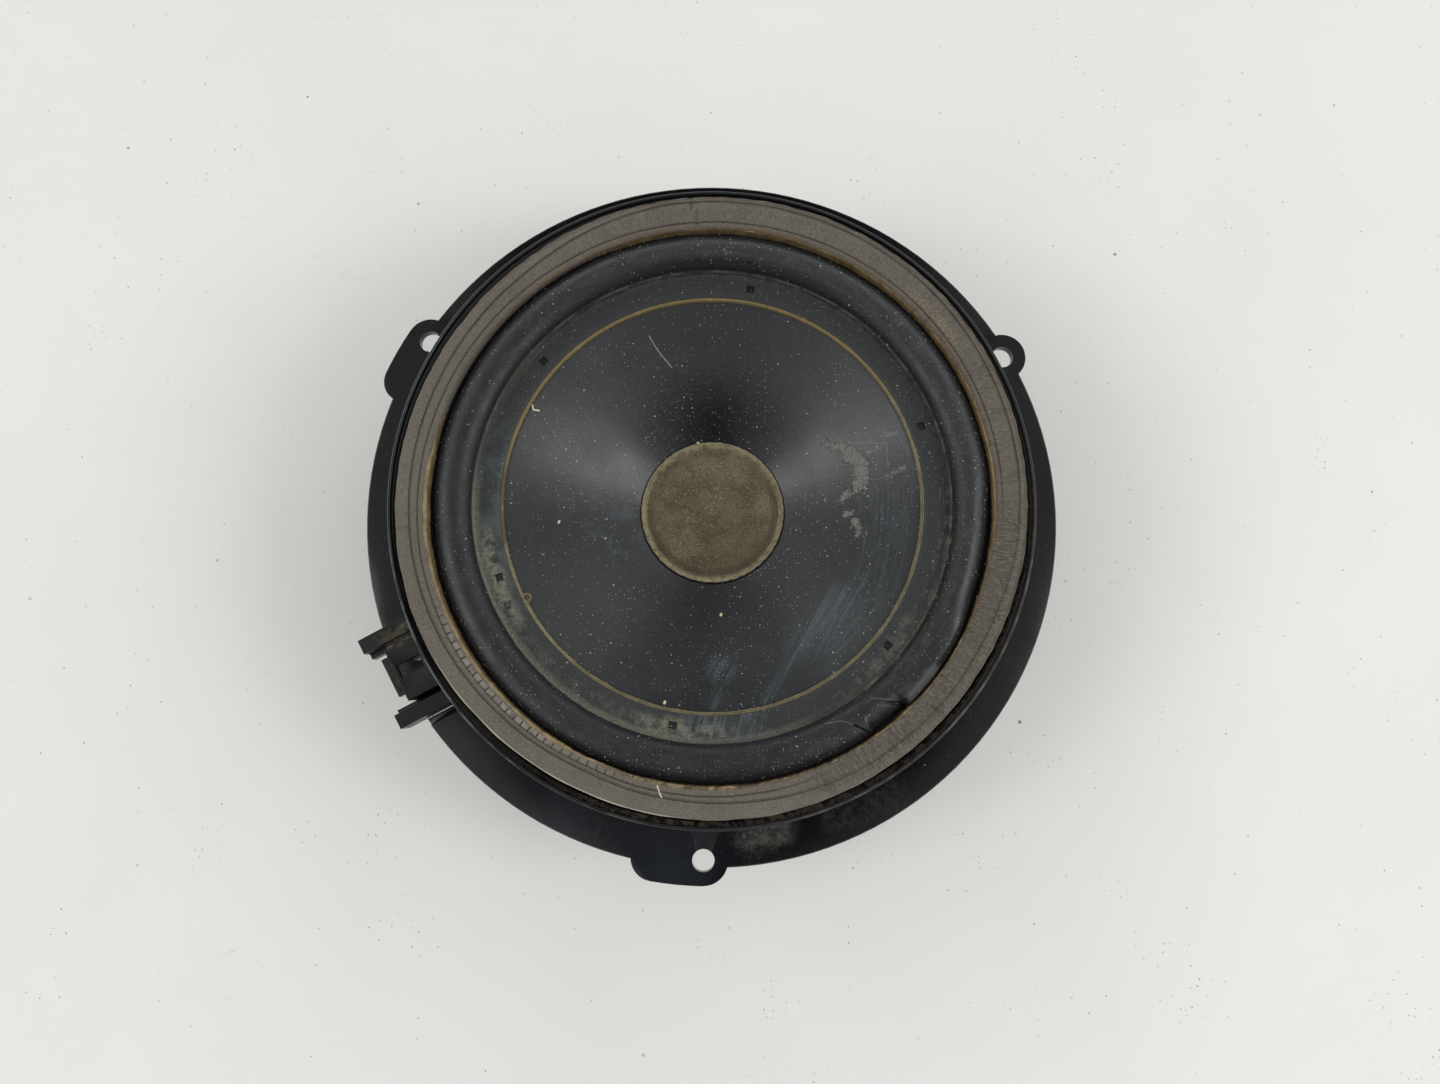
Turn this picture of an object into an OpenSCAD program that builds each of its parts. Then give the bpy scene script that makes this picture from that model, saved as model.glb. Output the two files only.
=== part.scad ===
// Full-range door loudspeaker for a car, 165 mm class, as an assembly of its separate pieces.
// Frame: +Z runs forward along the speaker's axis, out of the cone. The origin is the centre of the
// fixing-hole circle on the rear face of the mounting flange. The speaker's top edge is +Y.

/* [Mounting flange] */
// Outer radius of the flat mounting flange
flange_r = 88; // [86:0.5:92]
// Thickness of the mounting flange
flange_t = 2.5; // [2:0.1:3.5]
// Diameter of the circle through the three fixing holes
hole_pcd = 172.4; // [170:0.2:176]
// Diameter of one fixing hole
hole_d = 5.5; // [4.5:0.1:6]
// Direction of the first fixing hole, seen from the front
hole_angle = 28.5; // [25:0.5:32]
// Radius of the outer edge of the two long fixing tabs
tab_r = 92.3; // [91:0.1:94]
// Radius of the round ear about a fixing hole
ear_r = 6.05; // [5:0.05:6.5]
// How far round the flange a long tab reaches from its hole, in degrees
tab_sweep = 8.1; // [6:0.1:10]

/* [Basket] */
// Outer radius of the rim wall that stands on the flange
rim_r = 76.7; // [76:0.1:78]
// Thickness of the rim wall below its step
rim_t = 1.4; // [1.2:0.1:1.8]
// Thickness of the rim wall's thin top edge
rim_edge_t = 0.8; // [0.6:0.1:1.2]
// Height of the step inside the rim, outside the gasket
rim_step_z = 21.8; // [21:0.1:22.5]
// Height of the rim's top edge above the flange's rear face
rim_top = 23.3; // [22:0.1:25]
// Height of the ledge that the surround is glued to
ledge_z = 19.3; // [18.5:0.1:19.6]
// Inner radius of the ledge
ledge_r = 66.9; // [66.8:0.05:67.2]
// Number of spokes, which is also the number of windows
spokes = 6; // [4:1:8]
// Width of one spoke
spoke_w = 13; // [10:0.5:16]
// Radius of the corners of a window
window_corner = 4; // [2:0.5:5]
// Height of the seat that the spider is glued to
spider_seat_z = -5.5; // [-6.5:0.1:-5]
// Height of the basket's rear face, where the motor is riveted on
motor_z = -17; // [-18:0.5:-16.5]

/* [Diaphragm] */
// Outer radius of the exposed part of the cone, at the amber glue line
cone_r = 50.5; // [49:0.1:52]
// Height of the cone's flat rim, which carries the surround
cone_rim_z = 18.25; // [17.5:0.05:18.5]
// Radius of the dust cap's outer edge
cap_r = 18.1; // [17:0.1:19]
// Height of the cone under the dust cap's outer edge
cap_z = 3; // [2.5:0.1:3.5]
// Height of the dust cap's dome above its own edge
cap_rise = 5.5; // [4:0.1:7]
// Thickness of the cone
cone_t = 0.75; // [0.6:0.05:1]
// Thickness of the rubber surround
surround_t = 0.6; // [0.5:0.05:0.8]
// Radius of the middle of the surround's roll
roll_r = 61.8; // [61:0.1:62.5]
// Outer radius of the roll's round section
roll_section_r = 4.9; // [4.5:0.1:5.2]

/* [Gasket] */
// Inner radius of the foam gasket
gasket_in_r = 67.3; // [67:0.1:68]
// Outer radius of the foam gasket
gasket_out_r = 74.3; // [73.5:0.1:74.8]
// Height of the gasket's outer edge
gasket_top = 23.9; // [23:0.1:25]
// How much lower the gasket's inner edge lies
gasket_dish = 0.6; // [0:0.1:1]

/* [Motor] */
// Radius of the ferrite ring magnet
magnet_r = 38; // [36:0.5:40]
// Thickness of the ferrite ring magnet
magnet_t = 13.7; // [12:0.1:16]
// Radius of the steel front plate
plate_r = 36; // [34:0.5:37]
// Thickness of the front plate and of the yoke's back
plate_t = 5; // [4:0.5:6]
// Radius of the yoke's centre pole
pole_r = 12.1; // [12:0.05:12.2]
// Inner radius of the voice coil's former
former_r = 12.5; // [12.4:0.05:12.6]
// Length of the voice coil's winding
coil_h = 12; // [9:0.5:13]
// Inner radius of the front plate, across the magnetic gap
gap_r = 13.75; // [13.7:0.05:13.9]

/* [Connector] */
// Direction of the connector, seen from the front
plug_angle = 208.2; // [206:0.1:210]
// Width of the connector's socket block
block_w = 13.8; // [12:0.2:15]
// Radius of the block's outer edge
block_end = 87.5; // [86:0.1:88.5]
// Radius of the outer end of the two guide rails
rail_end = 92.3; // [91:0.1:94]
// Height of the block's top face
block_top = 8.5; // [8:0.1:9.5]
// Width of one contact pin
pin_w = 2.8; // [2.2:0.1:2.8]
// Thickness of one contact pin
pin_t = 0.8; // [0.6:0.1:0.8]

/* [Hidden] */
$fn = 128;

eps = 0.05;
chamfer = 0.35;
rim_in = rim_r - rim_t;
rim_edge_in = rim_r - rim_edge_t;
pocket_r = gasket_out_r + 0.45;
hole_r = hole_d / 2;
hole_circle_r = hole_pcd / 2;
window_pitch = 360 / spokes;

// Basket heights and radii
ledge_t = 2;
ledge_web_t = 1.6;
lip_top = ledge_z + surround_t;
spigot_r = 72.6;
spigot_bottom = -3;
spider_seat_r = 40.2;
bowl_r = 42.2;
bowl_floor_t = 2.4;
bowl_floor_top = motor_z + bowl_floor_t;
bowl_hole_r = 20;
collar_r = 39.2;
collar_bottom = motor_z - 3;
window_in_r = 45.5;
window_out_r = 69.5;
rib_t = 2.2;
vent_w = 10;
vent_h = 3.6;
vent_sill = 0.7;
rib_inset = 0.8;

// Motor heights
glue_t = 0.15;
plate_bottom = motor_z - plate_t;
magnet_top = plate_bottom - glue_t;
magnet_bottom = magnet_top - magnet_t;
yoke_top = magnet_bottom - glue_t;
yoke_bottom = yoke_top - plate_t;
magnet_in_r = 17;
yoke_r = 35.5;
pole_top = motor_z + 0.2;
rivet_circle_r = 29;
rivet_r = 2.2;
rivet_head_r = 4;
rivet_head_t = 1.4;
rivet_count = 4;

// Cone and voice coil
cone_slope = (cone_rim_z - cap_z) / (cone_r + 0.1 - cap_r);
cone_rim_out = 57;
neck_r = 12.85;
former_t = 0.25;
former_top = 2.5;
former_out = former_r + former_t;
winding_out = 13.3;
winding_mid = motor_z - plate_t / 2;
former_bottom = winding_mid - coil_h / 2 - 1.5;
lead_z = -2.3;
lead_angles = [plug_angle - 11, plug_angle + 11];

// Spider waves
spider_in_r = 13.35;
spider_flat_in = 16;
spider_flat_out = 36;
spider_t = 0.45;
spider_wave = 1.1;
spider_waves = 5;
spider_steps = 8;

// Connector places, measured outward from the speaker's axis, across and up
socket_w = 11.2;
socket_floor = 2.2;
socket_roof = 7;
socket_back = 78.3;
pin_z = 4.6;
pin_spread = 2.6;
pin_tip = 82.8;
pin_tail = 68.5;
rail_in = 8.4;
rail_w = 3.7;
rail_foot_w = 5;
rail_foot_top = 3.4;
rail_top = 8.1;
lip_end = 90.8;
tongue_w = 12;
tongue_end = 73;
plug_gap_w = 24.6;
plug_pocket_end = 14.2;
flange_floor_t = 1.1;

function cone_front(r) = cap_z + (r - cap_r) * cone_slope;
function on_circle(r, a) = [r * cos(a), r * sin(a), 0];

// A solid of revolution from a list of [radius, height] points
module turned(points) {
    rotate_extrude()
        polygon(points);
}

// A plain ring between two radii and two heights
module ring(r_in, r_out, z_low, z_high) {
    rotate_extrude()
        translate([r_in, z_low])
            square([r_out - r_in, z_high - z_low]);
}

// A flat web that stands on a radius, from a list of [radius, height] points
module web(points, thickness, angle, side = 0) {
    rotate([0, 0, angle])
        translate([0, side, 0])
            rotate([90, 0, 0])
                linear_extrude(thickness, center = true)
                    polygon(points);
}

// A box in the connector's own directions: outward, across and up
module plug_box(low, high) {
    rotate([0, 0, plug_angle])
        translate(low)
            cube(high - low);
}

// ---- Basket ----

// A wedge between two spokes, pulled back from each spoke's middle line
module wedge(pull_back) {
    apex = pull_back / sin(window_pitch / 2);
    reach = 2 * flange_r;
    translate([apex, 0])
        polygon([[0, 0],
            [reach * cos(window_pitch / 2), reach * sin(window_pitch / 2)],
            [reach * cos(window_pitch / 2), -reach * sin(window_pitch / 2)]]);
}

module band(r_in, r_out) {
    difference() {
        circle(r_out);
        circle(r_in);
    }
}

// One window between two spokes, with rounded corners
module window_outline() {
    side = spoke_w / 2;
    c = window_corner;
    intersection() {
        band(window_in_r + c, window_out_r - c);
        wedge(side);
    }
    intersection() {
        band(window_in_r, window_out_r);
        wedge(side + c);
    }
    for (r = [window_in_r + c, window_out_r - c], mirror_y = [0, 1])
        mirror([0, mirror_y])
            rotate(window_pitch / 2)
                translate([sqrt(r * r - (side + c) * (side + c)), -(side + c)])
                    circle(c + 0.02);
}

// Flat outline of the flange's fixing ears and tabs
module ears_outline() {
    for (k = [0:2])
        rotate(hole_angle + 120 * k)
            translate([hole_circle_r, 0])
                circle(ear_r);
    rotate(hole_angle + 120)
        tab_outline(tab_sweep);
    rotate(hole_angle + 240)
        mirror([0, 1])
            tab_outline(tab_sweep);
}

// A long tab from a hole's direction round to a second round corner
module tab_outline(sweep) {
    corner_r = 5.6;
    reach = 1.1 * tab_r;
    intersection() {
        circle(tab_r);
        polygon([[rim_r, 0],
            [reach, 0],
            [reach * cos(sweep), reach * sin(sweep)],
            [rim_r * cos(sweep), rim_r * sin(sweep)]]);
    }
    rotate(sweep)
        translate([tab_r - corner_r - eps, 0])
            circle(corner_r);
}

module flange_plate() {
    difference() {
        union() {
            turned([[rim_in, 0], [flange_r, 0], [flange_r, flange_t - chamfer],
                [flange_r - chamfer, flange_t], [rim_in, flange_t]]);
            linear_extrude(flange_t)
                difference() {
                    ears_outline();
                    circle(rim_r + 1);
                }
        }
        for (k = [0:2])
            rotate([0, 0, hole_angle + 120 * k])
                translate([hole_circle_r, 0, -1])
                    cylinder(h = flange_t + 2, r = hole_r);
        plug_box([rim_in - 1, -plug_gap_w / 2, -1], [flange_r + 6, plug_gap_w / 2, flange_t + 1]);
        // Shallow pocket in the flange beside the connector's lower rail
        plug_box([rim_in - 1, plug_gap_w / 2 - 1, flange_floor_t],
            [flange_r + 6, plug_pocket_end, flange_t + 1]);
    }
}

// The rim wall with its ledge for the surround and its spigot for the panel's cut-out
module rim_wall() {
    difference() {
        turned([[spigot_r, spigot_bottom], [rim_in - chamfer, spigot_bottom],
            [rim_in, spigot_bottom + chamfer], [rim_in, 0], [rim_r, 0],
            [rim_r, rim_top - chamfer], [rim_r - chamfer, rim_top],
            [rim_edge_in + 0.2, rim_top], [rim_edge_in, rim_top - 0.2],
            [rim_edge_in, rim_step_z], [pocket_r, rim_step_z - 0.3],
            [pocket_r, ledge_z], [ledge_r, ledge_z], [ledge_r, ledge_z - ledge_t],
            [rim_in, ledge_z - ledge_t], [rim_in, flange_t + 0.5], [spigot_r, flange_t + 0.5]]);
        plug_box([spigot_r - 1, -tongue_w / 2 - eps, socket_floor - eps],
            [rim_r + 1, tongue_w / 2 + eps, socket_roof + eps]);
    }
}

// Small webs that hold the ledge up against the rim wall
module ledge_webs() {
    for (k = [0:11])
        web([[ledge_r + 1, ledge_z - ledge_t + 0.5], [rim_in + 0.5, ledge_z - ledge_t + 0.5],
            [rim_in + 0.5, ledge_z - ledge_t - 8], [rim_in - 1, ledge_z - ledge_t - 8],
            [ledge_r + 1, ledge_z - ledge_t - 0.5]],
            ledge_web_t, hole_angle + 15 + 30 * k);
}

// Sloping plate between the flange and the spider's seat, cut into spokes by the windows
module spoke_plate() {
    difference() {
        turned([[bowl_r - 1, spider_seat_z - 0.5], [spigot_r + 1, 1.6], [spigot_r + 1, -1.6],
            [bowl_r - 1, spider_seat_z - 3.7]]);
        for (k = [0:spokes - 1])
            rotate([0, 0, hole_angle + window_pitch * (k + 0.5)])
                translate([0, 0, motor_z])
                    linear_extrude(30)
                        window_outline();
    }
}

// Two stiffening ribs behind every spoke
module spoke_ribs() {
    for (k = [0:spokes - 1], side = [-1, 1])
        web([[bowl_r - 1, motor_z + 0.6], [bowl_r + 2.5, motor_z + 0.6],
            [spigot_r + 0.8, spigot_bottom + 0.3], [spigot_r + 0.8, -1.3],
            [bowl_r - 1, spider_seat_z - 3.5]],
            rib_t, hole_angle + window_pitch * k, side * (spoke_w / 2 - rib_t / 2 - rib_inset));
}

// The bowl behind the spider, with its floor, its seat and its vents
module bowl() {
    difference() {
        turned([[bowl_hole_r, motor_z], [collar_r - 2.8, motor_z], [collar_r - 2.8, collar_bottom],
            [collar_r, collar_bottom], [collar_r, motor_z], [bowl_r, motor_z],
            [bowl_r, spider_seat_z + 1.7], [bowl_r - 1.4, spider_seat_z + 1.7],
            [bowl_r - 1.4, spider_seat_z], [36.2, spider_seat_z], [36.2, spider_seat_z - 2],
            [39.4, spider_seat_z - 3.2], [39.4, bowl_floor_top], [bowl_hole_r, bowl_floor_top]]);
        for (k = [0:rivet_count - 1])
            rotate([0, 0, 45 + 90 * k])
                translate([rivet_circle_r, 0, motor_z - 1])
                    cylinder(h = bowl_floor_t + 2, r = rivet_r + 0.05);
        for (k = [0:spokes - 1])
            rotate([0, 0, hole_angle + window_pitch * (k + 0.5)])
                translate([38.4, -vent_w / 2, bowl_floor_top + vent_sill])
                    cube([8, vent_w, vent_h]);
    }
}

module basket() {
    color([0.07, 0.07, 0.08])
        union() {
            flange_plate();
            rim_wall();
            ledge_webs();
            spoke_plate();
            spoke_ribs();
            bowl();
        }
}

// ---- Front seal ----

module front_gasket() {
    color([0.45, 0.41, 0.38])
        turned([[gasket_in_r, lip_top], [gasket_out_r, lip_top], [gasket_out_r, gasket_top - 0.3],
            [gasket_out_r - 0.3, gasket_top], [gasket_in_r + 0.4, gasket_top - gasket_dish],
            [gasket_in_r, gasket_top - gasket_dish - 0.4]]);
}

module gasket_adhesive() {
    color([0.62, 0.48, 0.24])
        turned([[gasket_in_r - 0.55, lip_top], [gasket_in_r, lip_top],
            [gasket_in_r, gasket_top - 1.7], [gasket_in_r - 0.5, gasket_top - 2.3]]);
}

// ---- Suspension ----

// Rubber surround: inner landing, half-round roll and outer lip
module surround() {
    foot_z = cone_rim_z + eps;
    roll_z = foot_z + 0.3;
    landing_in = cone_r + 0.4;
    inner_foot = roll_r - roll_section_r;
    outer_foot = roll_r + roll_section_r;
    color([0.12, 0.12, 0.13])
        rotate_extrude() {
            translate([landing_in, foot_z])
                square([inner_foot + surround_t - landing_in, surround_t]);
            intersection() {
                translate([roll_r, roll_z])
                    difference() {
                        circle(roll_section_r);
                        circle(roll_section_r - surround_t);
                    }
                translate([inner_foot - 1, roll_z])
                    square([2 * roll_section_r + 2, roll_section_r + 1]);
            }
            translate([outer_foot - surround_t, roll_z - 0.01])
                square([surround_t, ledge_z + surround_t - roll_z]);
            translate([outer_foot - surround_t, ledge_z])
                square([pocket_r - 0.15 - outer_foot + surround_t, surround_t]);
        }
}

module cone_edge_adhesive() {
    foot_z = cone_rim_z + eps;
    inner = cone_r - 0.45;
    color([0.66, 0.52, 0.27])
        turned([[inner, cone_front(inner) + 0.02], [cone_r + 0.1, cone_rim_z + 0.02],
            [cone_r + 0.38, cone_rim_z + 0.02], [cone_r + 0.38, foot_z + surround_t],
            [cone_r, foot_z + surround_t - 0.05]]);
}

function spider_wave_z(r) =
    let (share = (r - spider_flat_in) / (spider_flat_out - spider_flat_in))
    (share <= 0 || share >= 1) ? 0 : spider_wave * sin(360 * spider_waves * share);

// Corrugated cloth disc that centres the voice coil
module spider() {
    count = spider_waves * spider_steps;
    step = (spider_flat_out - spider_flat_in) / count;
    radii = concat([spider_in_r], [for (k = [0:count]) spider_flat_in + k * step],
        [spider_seat_r - 0.2]);
    low = [for (r = radii) [r, spider_seat_z + eps + spider_wave_z(r)]];
    high = [for (k = [len(radii) - 1:-1:0]) low[k] + [0, spider_t]];
    color([0.72, 0.60, 0.36])
        turned(concat(low, high));
}

module spider_adhesive() {
    top = spider_seat_z + eps + spider_t + 0.02;
    color([0.25, 0.2, 0.14]) {
        turned([[37.4, top], [spider_seat_r, top], [spider_seat_r, top + 0.8], [38.6, top + 0.9]]);
    }
}

// ---- Cone assembly ----

module cone() {
    back = cone_t * 1.1;
    color([0.1, 0.11, 0.12])
        turned([[neck_r, -1], [neck_r + 0.8, -1], [neck_r + 0.8, cone_front(neck_r + 0.8) - back],
            [cone_r + 0.5, cone_rim_z - cone_t], [cone_rim_out, cone_rim_z - cone_t],
            [cone_rim_out, cone_rim_z], [cone_r + 0.1, cone_rim_z], [neck_r, cone_front(neck_r)]]);
}

module dust_cap() {
    edge_w = 1.5;
    lift = 0.12;
    cap_t = 0.5;
    dome_r = cap_r - edge_w;
    base = cone_front(dome_r) + lift;
    sphere_r = (dome_r * dome_r + cap_rise * cap_rise) / (2 * cap_rise);
    color([0.42, 0.38, 0.3])
        rotate_extrude() {
            polygon([[dome_r - cap_t, base], [dome_r, base], [cap_r, cone_front(cap_r) + lift],
                [cap_r, cone_front(cap_r) + lift + cap_t], [dome_r, base + cap_t],
                [dome_r - cap_t, base + cap_t]]);
            intersection() {
                translate([0, base + cap_rise - sphere_r])
                    difference() {
                        circle(sphere_r, $fn = 256);
                        circle(sphere_r - cap_t, $fn = 256);
                    }
                translate([0, base])
                    square([dome_r, cap_rise + 1]);
            }
        }
}

module dust_cap_adhesive() {
    inner = cap_r - 1.4;
    outer = cap_r - 0.1;
    color([0.55, 0.45, 0.28])
        turned([[inner, cone_front(inner) + 0.01], [outer, cone_front(outer) + 0.01],
            [outer, cone_front(outer) + 0.11], [inner, cone_front(inner) + 0.11]]);
}

module voice_coil_former() {
    color([0.68, 0.68, 0.66])
        ring(former_r, former_out, former_bottom, former_top);
}

// Copper winding with the two wire tails that run up to the solder joints
module voice_coil_winding() {
    low = winding_mid - coil_h / 2;
    high = winding_mid + coil_h / 2;
    tail_r = 0.15;
    color([0.66, 0.36, 0.2]) {
        ring(former_out, winding_out, low, high);
        for (a = lead_angles)
            translate(on_circle(former_out + tail_r + 0.05, a))
                translate([0, 0, high])
                    cylinder(h = lead_z - 0.2 - high, r = tail_r, $fn = 24);
    }
}

module neck_adhesive() {
    outer = neck_r + 2;
    color([0.16, 0.12, 0.08])
        turned([[former_out + 0.02, cone_front(neck_r) + 0.02],
            [neck_r, cone_front(neck_r) + 0.02], [outer, cone_front(outer) + 0.02],
            [former_out + 0.02, former_top - 0.3]]);
}

module lead_solder_joints() {
    color([0.75, 0.75, 0.74])
        for (a = lead_angles)
            translate(on_circle(14.08, a))
                translate([0, 0, lead_z])
                    sphere(r = 0.95, $fn = 48);
}

// ---- Electrical leads ----

// Route of a lead in the connector's directions: outward, across and up
function lead_route(side) = [
    [pin_tail - 0.1, side * 2.6, pin_z + 0.5],
    [66.2, side * 2.6, 5.4],
    [63.5, side * 2.6, 4.9],
    [59.5, side * 2.7, 3.2],
    [54, side * 2.9, 1.4],
    [47, side * 3.1, 0.2],
    [39, side * 3.2, -0.5],
    [31, side * 3.1, -0.6],
    [24, side * 3, -0.7],
    [19.5, side * 2.9, -1.2],
    [16.8, side * 2.83, -1.9],
    [14.78, side * 2.78, lead_z]];

lead_sides = 8;
lead_r = 0.5;

function unit(v) = v / norm(v);
function tangent_at(p, k) = unit(p[min(k + 1, len(p) - 1)] - p[max(k - 1, 0)]);

// Points on a smooth curve through the route, four to each stretch
function smooth(p, steps = 4) = [
    for (k = [0:len(p) - 2], j = [0:steps - 1])
        let (t = j / steps, a = p[max(k - 1, 0)], b = p[k], c = p[k + 1],
            d = p[min(k + 2, len(p) - 1)])
        0.5 * (2 * b + (c - a) * t + (2 * a - 5 * b + 4 * c - d) * t * t
            + (3 * b - a - 3 * c + d) * t * t * t),
    p[len(p) - 1]];

// A tube of lead_sides sides swept along a list of points
module swept(p) {
    rings = [for (k = [0:len(p) - 1])
        let (t = tangent_at(p, k), s = unit(cross([0, 0, 1], t)), u = cross(t, s))
        for (j = [0:lead_sides - 1])
            p[k] + lead_r * (cos(360 * j / lead_sides) * s + sin(360 * j / lead_sides) * u)];
    walls = [for (k = [0:len(p) - 2], j = [0:lead_sides - 1])
        let (n = (j + 1) % lead_sides, a = k * lead_sides, b = a + lead_sides)
        each [[a + j, b + j, b + n], [a + j, b + n, a + n]]];
    first = [for (j = [0:lead_sides - 1]) j];
    last = [for (j = [lead_sides - 1:-1:0]) (len(p) - 1) * lead_sides + j];
    polyhedron(points = rings, faces = concat(walls, [first, last]));
}

module tinsel_lead(side) {
    color([0.6, 0.42, 0.27])
        rotate([0, 0, plug_angle])
            swept(smooth(lead_route(side)));
}

module tinsel_lead_positive() {
    tinsel_lead(1);
}

module tinsel_lead_negative() {
    tinsel_lead(-1);
}

// Flat contact pin with a pointed tip outside and a solder tail inside the basket
module contact_pin(side) {
    middle = side * pin_spread;
    color([0.78, 0.77, 0.72])
        rotate([0, 0, plug_angle])
            translate([0, middle, pin_z - pin_t / 2])
                linear_extrude(pin_t)
                    polygon([[pin_tail, -pin_w / 2 + 0.5], [pin_tail + 0.5, -pin_w / 2],
                        [pin_tip - 1, -pin_w / 2], [pin_tip, -pin_w / 4], [pin_tip, pin_w / 4],
                        [pin_tip - 1, pin_w / 2], [pin_tail + 0.5, pin_w / 2],
                        [pin_tail, pin_w / 2 - 0.5]]);
}

module contact_pin_positive() {
    contact_pin(1);
}

module contact_pin_negative() {
    contact_pin(-1);
}

// ---- Connector ----

// One guide rail beside the socket, with a foot that faces the socket
module guide_rail(side) {
    near = rail_in;
    far = rail_in + rail_w;
    foot = far - rail_foot_w;
    rotate([0, 0, plug_angle])
        mirror([0, side < 0 ? 1 : 0, 0])
            translate([rim_r + eps, 0, 0])
                rotate([90, 0, 90])
                    linear_extrude(rail_end - rim_r - eps)
                        polygon([[foot, 0], [far, 0], [far, rail_top], [near, rail_top],
                            [near, rail_foot_top], [foot, rail_foot_top]]);
}

module connector_housing() {
    color([0.09, 0.09, 0.1])
        difference() {
            union() {
                plug_box([rim_r + eps, -block_w / 2, 0], [block_end, block_w / 2, block_top]);
                plug_box([block_end - 1, -6.1, 0], [lip_end, 6.1, socket_floor]);
                plug_box([tongue_end + 0.05, -tongue_w / 2, socket_floor],
                    [rim_r + 1, tongue_w / 2, socket_roof]);
                guide_rail(1);
                guide_rail(-1);
                // Web that joins the socket block to the rail on its own side
                plug_box([rim_r + eps, -rail_in - 0.5, 0], [block_end - 0.6, 0, block_top - 1.2]);
                plug_box([rim_r + eps, 0, 0], [block_end - 0.6, rail_in + 0.5, 1.4]);
            }
            plug_box([socket_back, -socket_w / 2, socket_floor],
                [block_end + 1, socket_w / 2, socket_roof]);
            plug_box([80.4, -2.1, socket_roof - 1], [86.5, 1.1, block_top + 1]);
            plug_box([lip_end - 1.6, 4.2, -1], [lip_end + 1, 7, socket_floor + 1]);
            for (side = [-1, 1])
                plug_box([tongue_end - 1, side * pin_spread - pin_w / 2, pin_z - pin_t / 2],
                    [socket_back + 1, side * pin_spread + pin_w / 2, pin_z + pin_t / 2]);
        }
}

// ---- Motor ----

module rivet_places() {
    for (k = [0:rivet_count - 1])
        rotate([0, 0, 45 + 90 * k])
            translate([rivet_circle_r, 0, 0])
                children();
}

module front_plate() {
    color([0.62, 0.62, 0.6])
        difference() {
            turned([[gap_r, plate_bottom], [plate_r, plate_bottom], [plate_r, motor_z - chamfer],
                [plate_r - chamfer, motor_z], [gap_r, motor_z]]);
            rivet_places()
                translate([0, 0, plate_bottom - 1])
                    cylinder(h = plate_t + 2, r = rivet_r + 0.05);
        }
}

module motor_rivets() {
    color([0.55, 0.55, 0.54])
        rivet_places()
            turned([[0, plate_bottom + 0.2], [rivet_r, plate_bottom + 0.2],
                [rivet_r, bowl_floor_top], [rivet_head_r, bowl_floor_top],
                [rivet_head_r, bowl_floor_top + 0.5], [rivet_head_r - 1.3, bowl_floor_top + rivet_head_t],
                [0, bowl_floor_top + rivet_head_t]]);
}

module magnet() {
    c = 0.8;
    color([0.2, 0.2, 0.21])
        turned([[magnet_in_r, magnet_bottom], [magnet_r - c, magnet_bottom],
            [magnet_r, magnet_bottom + c], [magnet_r, magnet_top - c], [magnet_r - c, magnet_top],
            [magnet_in_r, magnet_top]]);
}

module magnet_adhesive() {
    color([0.5, 0.42, 0.25]) {
        ring(magnet_in_r + 1, yoke_r - 1, magnet_top, plate_bottom);
        ring(magnet_in_r + 1, yoke_r - 1, yoke_top, magnet_bottom);
    }
}

// Steel yoke: the back plate and the centre pole in one piece
module yoke() {
    c = 1;
    color([0.6, 0.6, 0.58])
        turned([[0, yoke_bottom], [yoke_r - c, yoke_bottom], [yoke_r, yoke_bottom + c],
            [yoke_r, yoke_top], [pole_r + 2, yoke_top], [pole_r, yoke_top + 2],
            [pole_r, pole_top - 0.6], [pole_r - 0.6, pole_top], [0, pole_top]]);
}

basket();
front_gasket();
gasket_adhesive();
surround();
cone_edge_adhesive();
cone();
dust_cap();
dust_cap_adhesive();
voice_coil_former();
voice_coil_winding();
neck_adhesive();
spider();
spider_adhesive();
tinsel_lead_positive();
tinsel_lead_negative();
lead_solder_joints();
contact_pin_positive();
contact_pin_negative();
connector_housing();
front_plate();
motor_rivets();
magnet();
magnet_adhesive();
yoke();
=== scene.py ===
"""Looks of a 165 mm door loudspeaker for a car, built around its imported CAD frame.

Everything is in metres. +Z runs forward out of the cone, +Y is the speaker's top edge, and the
origin is the centre of the fixing-hole circle on the rear face of the flange. Sizes in the code are
in millimetres times MM, and directions round the axis are in degrees from +X towards +Y.
"""
import math

import bmesh
import bpy
import numpy as np
from mathutils import Matrix, Vector


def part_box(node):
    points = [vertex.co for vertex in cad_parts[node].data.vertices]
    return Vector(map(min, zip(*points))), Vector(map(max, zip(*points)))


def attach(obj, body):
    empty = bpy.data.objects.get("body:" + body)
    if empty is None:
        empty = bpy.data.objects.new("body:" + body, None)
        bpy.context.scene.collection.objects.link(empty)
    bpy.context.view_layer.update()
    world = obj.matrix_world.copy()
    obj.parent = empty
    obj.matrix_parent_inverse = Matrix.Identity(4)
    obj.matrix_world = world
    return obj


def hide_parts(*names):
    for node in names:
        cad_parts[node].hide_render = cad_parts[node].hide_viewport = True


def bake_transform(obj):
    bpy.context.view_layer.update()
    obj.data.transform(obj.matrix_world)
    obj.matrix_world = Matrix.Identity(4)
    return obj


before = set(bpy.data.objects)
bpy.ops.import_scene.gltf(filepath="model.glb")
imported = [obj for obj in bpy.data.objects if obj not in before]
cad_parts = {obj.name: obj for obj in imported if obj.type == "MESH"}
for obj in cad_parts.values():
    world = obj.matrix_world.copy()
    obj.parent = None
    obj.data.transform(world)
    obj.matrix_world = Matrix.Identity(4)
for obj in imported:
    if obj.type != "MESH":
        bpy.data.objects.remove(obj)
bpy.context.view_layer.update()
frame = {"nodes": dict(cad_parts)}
nodes = frame["nodes"]
MM = 0.001
PLUG_ANGLE = 208.2


# ---- Node building ----

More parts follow.
